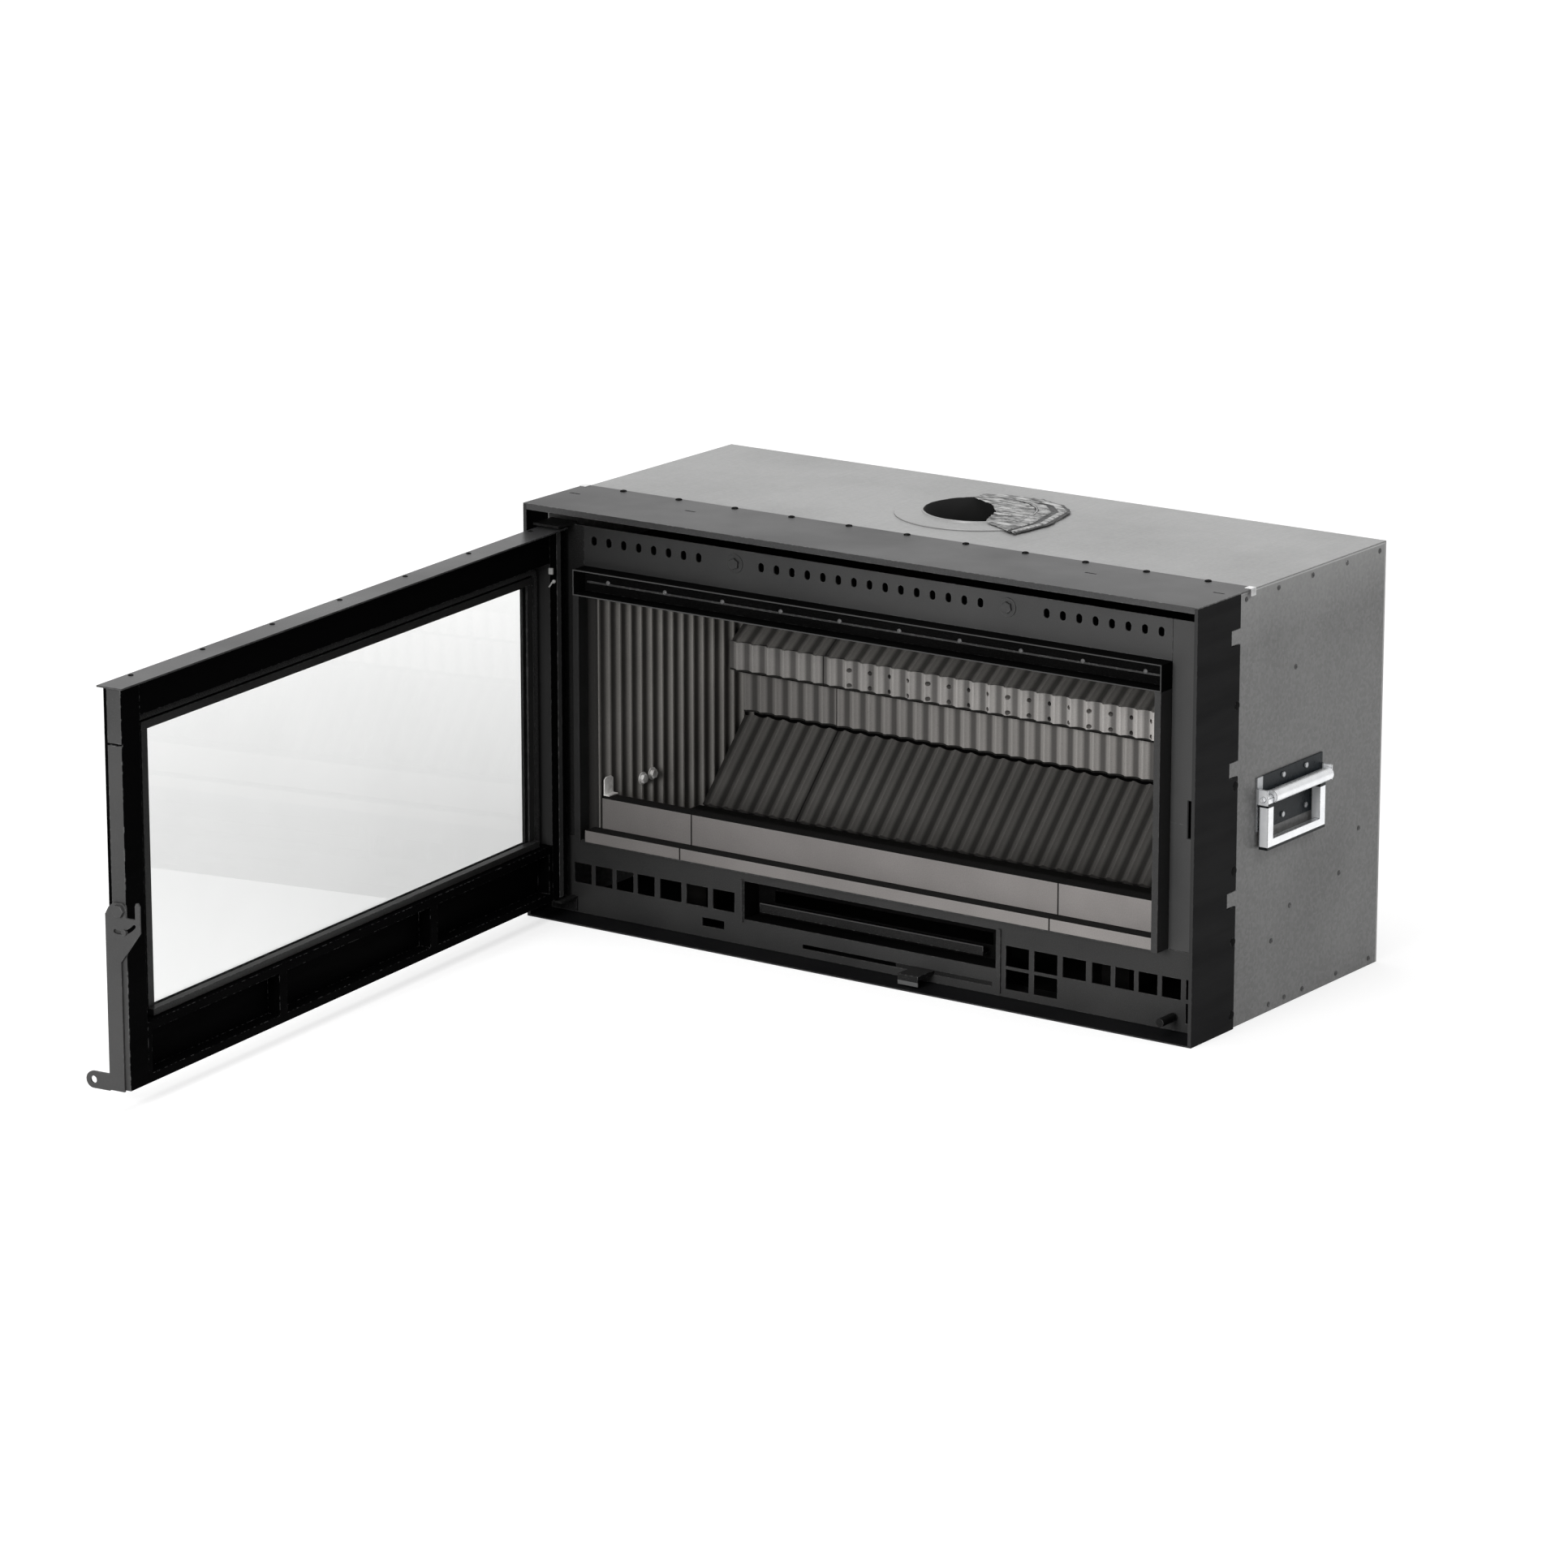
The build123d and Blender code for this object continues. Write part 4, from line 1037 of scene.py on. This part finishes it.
def plate_zinc(tree, shader, plated, under):
    """Bright plating where plated is 1, with painted dark lines along edges, painted shade on undersides and
    near the body, and painted light on faces turned to the front.
    """
    bright = blend(tree, wave(tree, 60, 4), (0.93, 0.94, 0.95), (0.84, 0.85, 0.87))
    # Painted shade: faces near the body are a darker grey.
    shade_against_body = calc(tree, "LESS_THAN", from_middle(tree), 500.9 * mm)
    bright = blend(tree, shade_against_body, bright, (0.4, 0.41, 0.42))
    slate = blend(tree, wave(tree, 120), (0.013, 0.017, 0.02), (0.018, 0.023, 0.027))
    # Painted dark lines along the edges, and painted shade on undersides.
    streaks_and_painted_lines = calc(tree, "MAXIMUM", times(tree, edge_mask(tree, 1.8 * mm, 0.99, 0.9), 0.85), under)
    # Painted light: faces turned to the front lose their metal and read as lit.
    front_lit_share = ramp(tree, facing(tree, (0, -1, 0), 0.4, 0.8), 0, 1, 0.9, 0.0)
    feed(shader, {"Base Color": blend(tree, streaks_and_painted_lines, blend(tree, plated, slate, bright), (0.01, 0.012, 0.013)),
                  "Metallic": times(tree, plated, front_lit_share),
                  "Roughness": ramp(tree, wave(tree, 240), 0, 1, 0.26, 0.36)})
    bump(tree, shader, wave(tree, 500, 2), 0.005 * mm)


# The bail is in shade along its foot and under its barrel.
foot_z, barrel_z, barrel_shade = 217.6 * mm, 269.5 * mm, 2.5 * mm
zinc, tree, shader = new_material("zinc", 0.1)
height = place_axis(tree, "Z")
shade = calc(tree, "MAXIMUM", calc(tree, "LESS_THAN", height, foot_z),
             calc(tree, "COMPARE", height, barrel_z, barrel_shade))
plate_zinc(tree, shader, 1.0, shade)
for name in ("handle_bail_left", "handle_bail_right"):
    dress(name, zinc)

# The plate's front edge is bright too; the rest of it is a bluish dark grey.
handle_finish, tree, shader = new_material("handle_finish", 0.1)
plated = calc(tree, "MAXIMUM", calc(tree, "GREATER_THAN", from_middle(tree), 498.9 * mm),
              calc(tree, "LESS_THAN", place_axis(tree, "Y"), -65 * mm))
plate_zinc(tree, shader, plated, 0.0)
for name in ("handle_plate_left", "handle_plate_right"):
    dress(name, handle_finish)


# ---------------------------------------------------------------------------
# Studio: a pale floor that keeps the shadow, soft lamps and a white
# surround.
# ---------------------------------------------------------------------------


def seen_share(tree):
    """1 for what is seen straight, mirrored or through glass, 0 for what only lights the piece."""
    rays = put(tree, "ShaderNodeLightPath").outputs
    indirect = calc(tree, "MAXIMUM", rays["Is Glossy Ray"], rays["Is Transmission Ray"])
    return calc(tree, "MAXIMUM", rays["Is Camera Ray"], indirect)


floor_half = 40.0
floor_mesh = bpy.data.meshes.new("studio_floor")
floor_mesh.from_pydata([(*corner, cad_box[0].z) for corner in circle(floor_half * math.sqrt(2), 4, 0.5)], [],
                       [(0, 1, 2, 3)])
floor = bpy.data.objects.new("studio_floor", floor_mesh)
bpy.context.scene.collection.objects.link(floor)
floor_white, tree, shader = new_material("floor_white", 0.0)
feed(shader, {"Base Color": grey(0.42), "Roughness": 0.9})
away = vector_calc(tree, "LENGTH", own_place(tree))
glow_level = times(tree, seen_share(tree), ramp(tree, away, 0.5, 4.0, 0.68, 1.0))
glass_ray = put(tree, "ShaderNodeLightPath").outputs["Is Transmission Ray"]
through_glass = times(tree, glass_ray, ramp(tree, away, 0.8, 2.0, 0.25, -0.1))
glow = put(tree, "ShaderNodeEmission", {"Strength": calc(tree, "SUBTRACT", glow_level, through_glass)})
resurface(tree, put(tree, "ShaderNodeAddShader", {0: shader.outputs[0], 1: glow.outputs[0]}))
floor_mesh.materials.append(floor_white)

scene = bpy.context.scene
world = bpy.data.worlds.new("studio")
scene.world = world
world.use_nodes = True
tree = world.node_tree
tree.nodes.clear()
sky = put(tree, "ShaderNodeBackground", {"Strength": ramp(tree, seen_share(tree), 0, 1, 0.3, 1.0)})
put(tree, "ShaderNodeOutputWorld", {"Surface": sky.outputs[0]})


def lamp(name, place, aim, size, power):
    data = bpy.data.lights.new(name, "AREA")
    data.shape = "RECTANGLE"
    data.size, data.size_y = size
    data.energy = power
    made = bpy.data.objects.new(name, data)
    made.location = place
    made.rotation_euler = (Vector(aim) - Vector(place)).to_track_quat("-Z", "Y").to_euler()
    scene.collection.objects.link(made)
    made.visible_camera = False


lamp("overhead", (-0.2, -0.4, 3.2), (0, -0.1, 0.3), (3.0, 2.4), 75)
lamp("front", (0.2, -4.2, 1.4), (0.1, 0.0, 0.25), (1.6, 1.4), 110)
lamp("right", (1.6, 0.3, 1.4), (0.5, 0.2, 0.4), (0.6, 0.6), 6)

scene.view_settings.view_transform = "Standard"
camera_data = bpy.data.cameras.new("camera")
camera_data.lens = 149.31
camera_data.sensor_width = 36
camera = bpy.data.objects.new("camera", camera_data)
camera.location = (4.39074, -6.60180, 2.32221)
camera.rotation_euler = (math.radians(75.03), 0, math.radians(35.13))
scene.collection.objects.link(camera)
scene.camera = camera
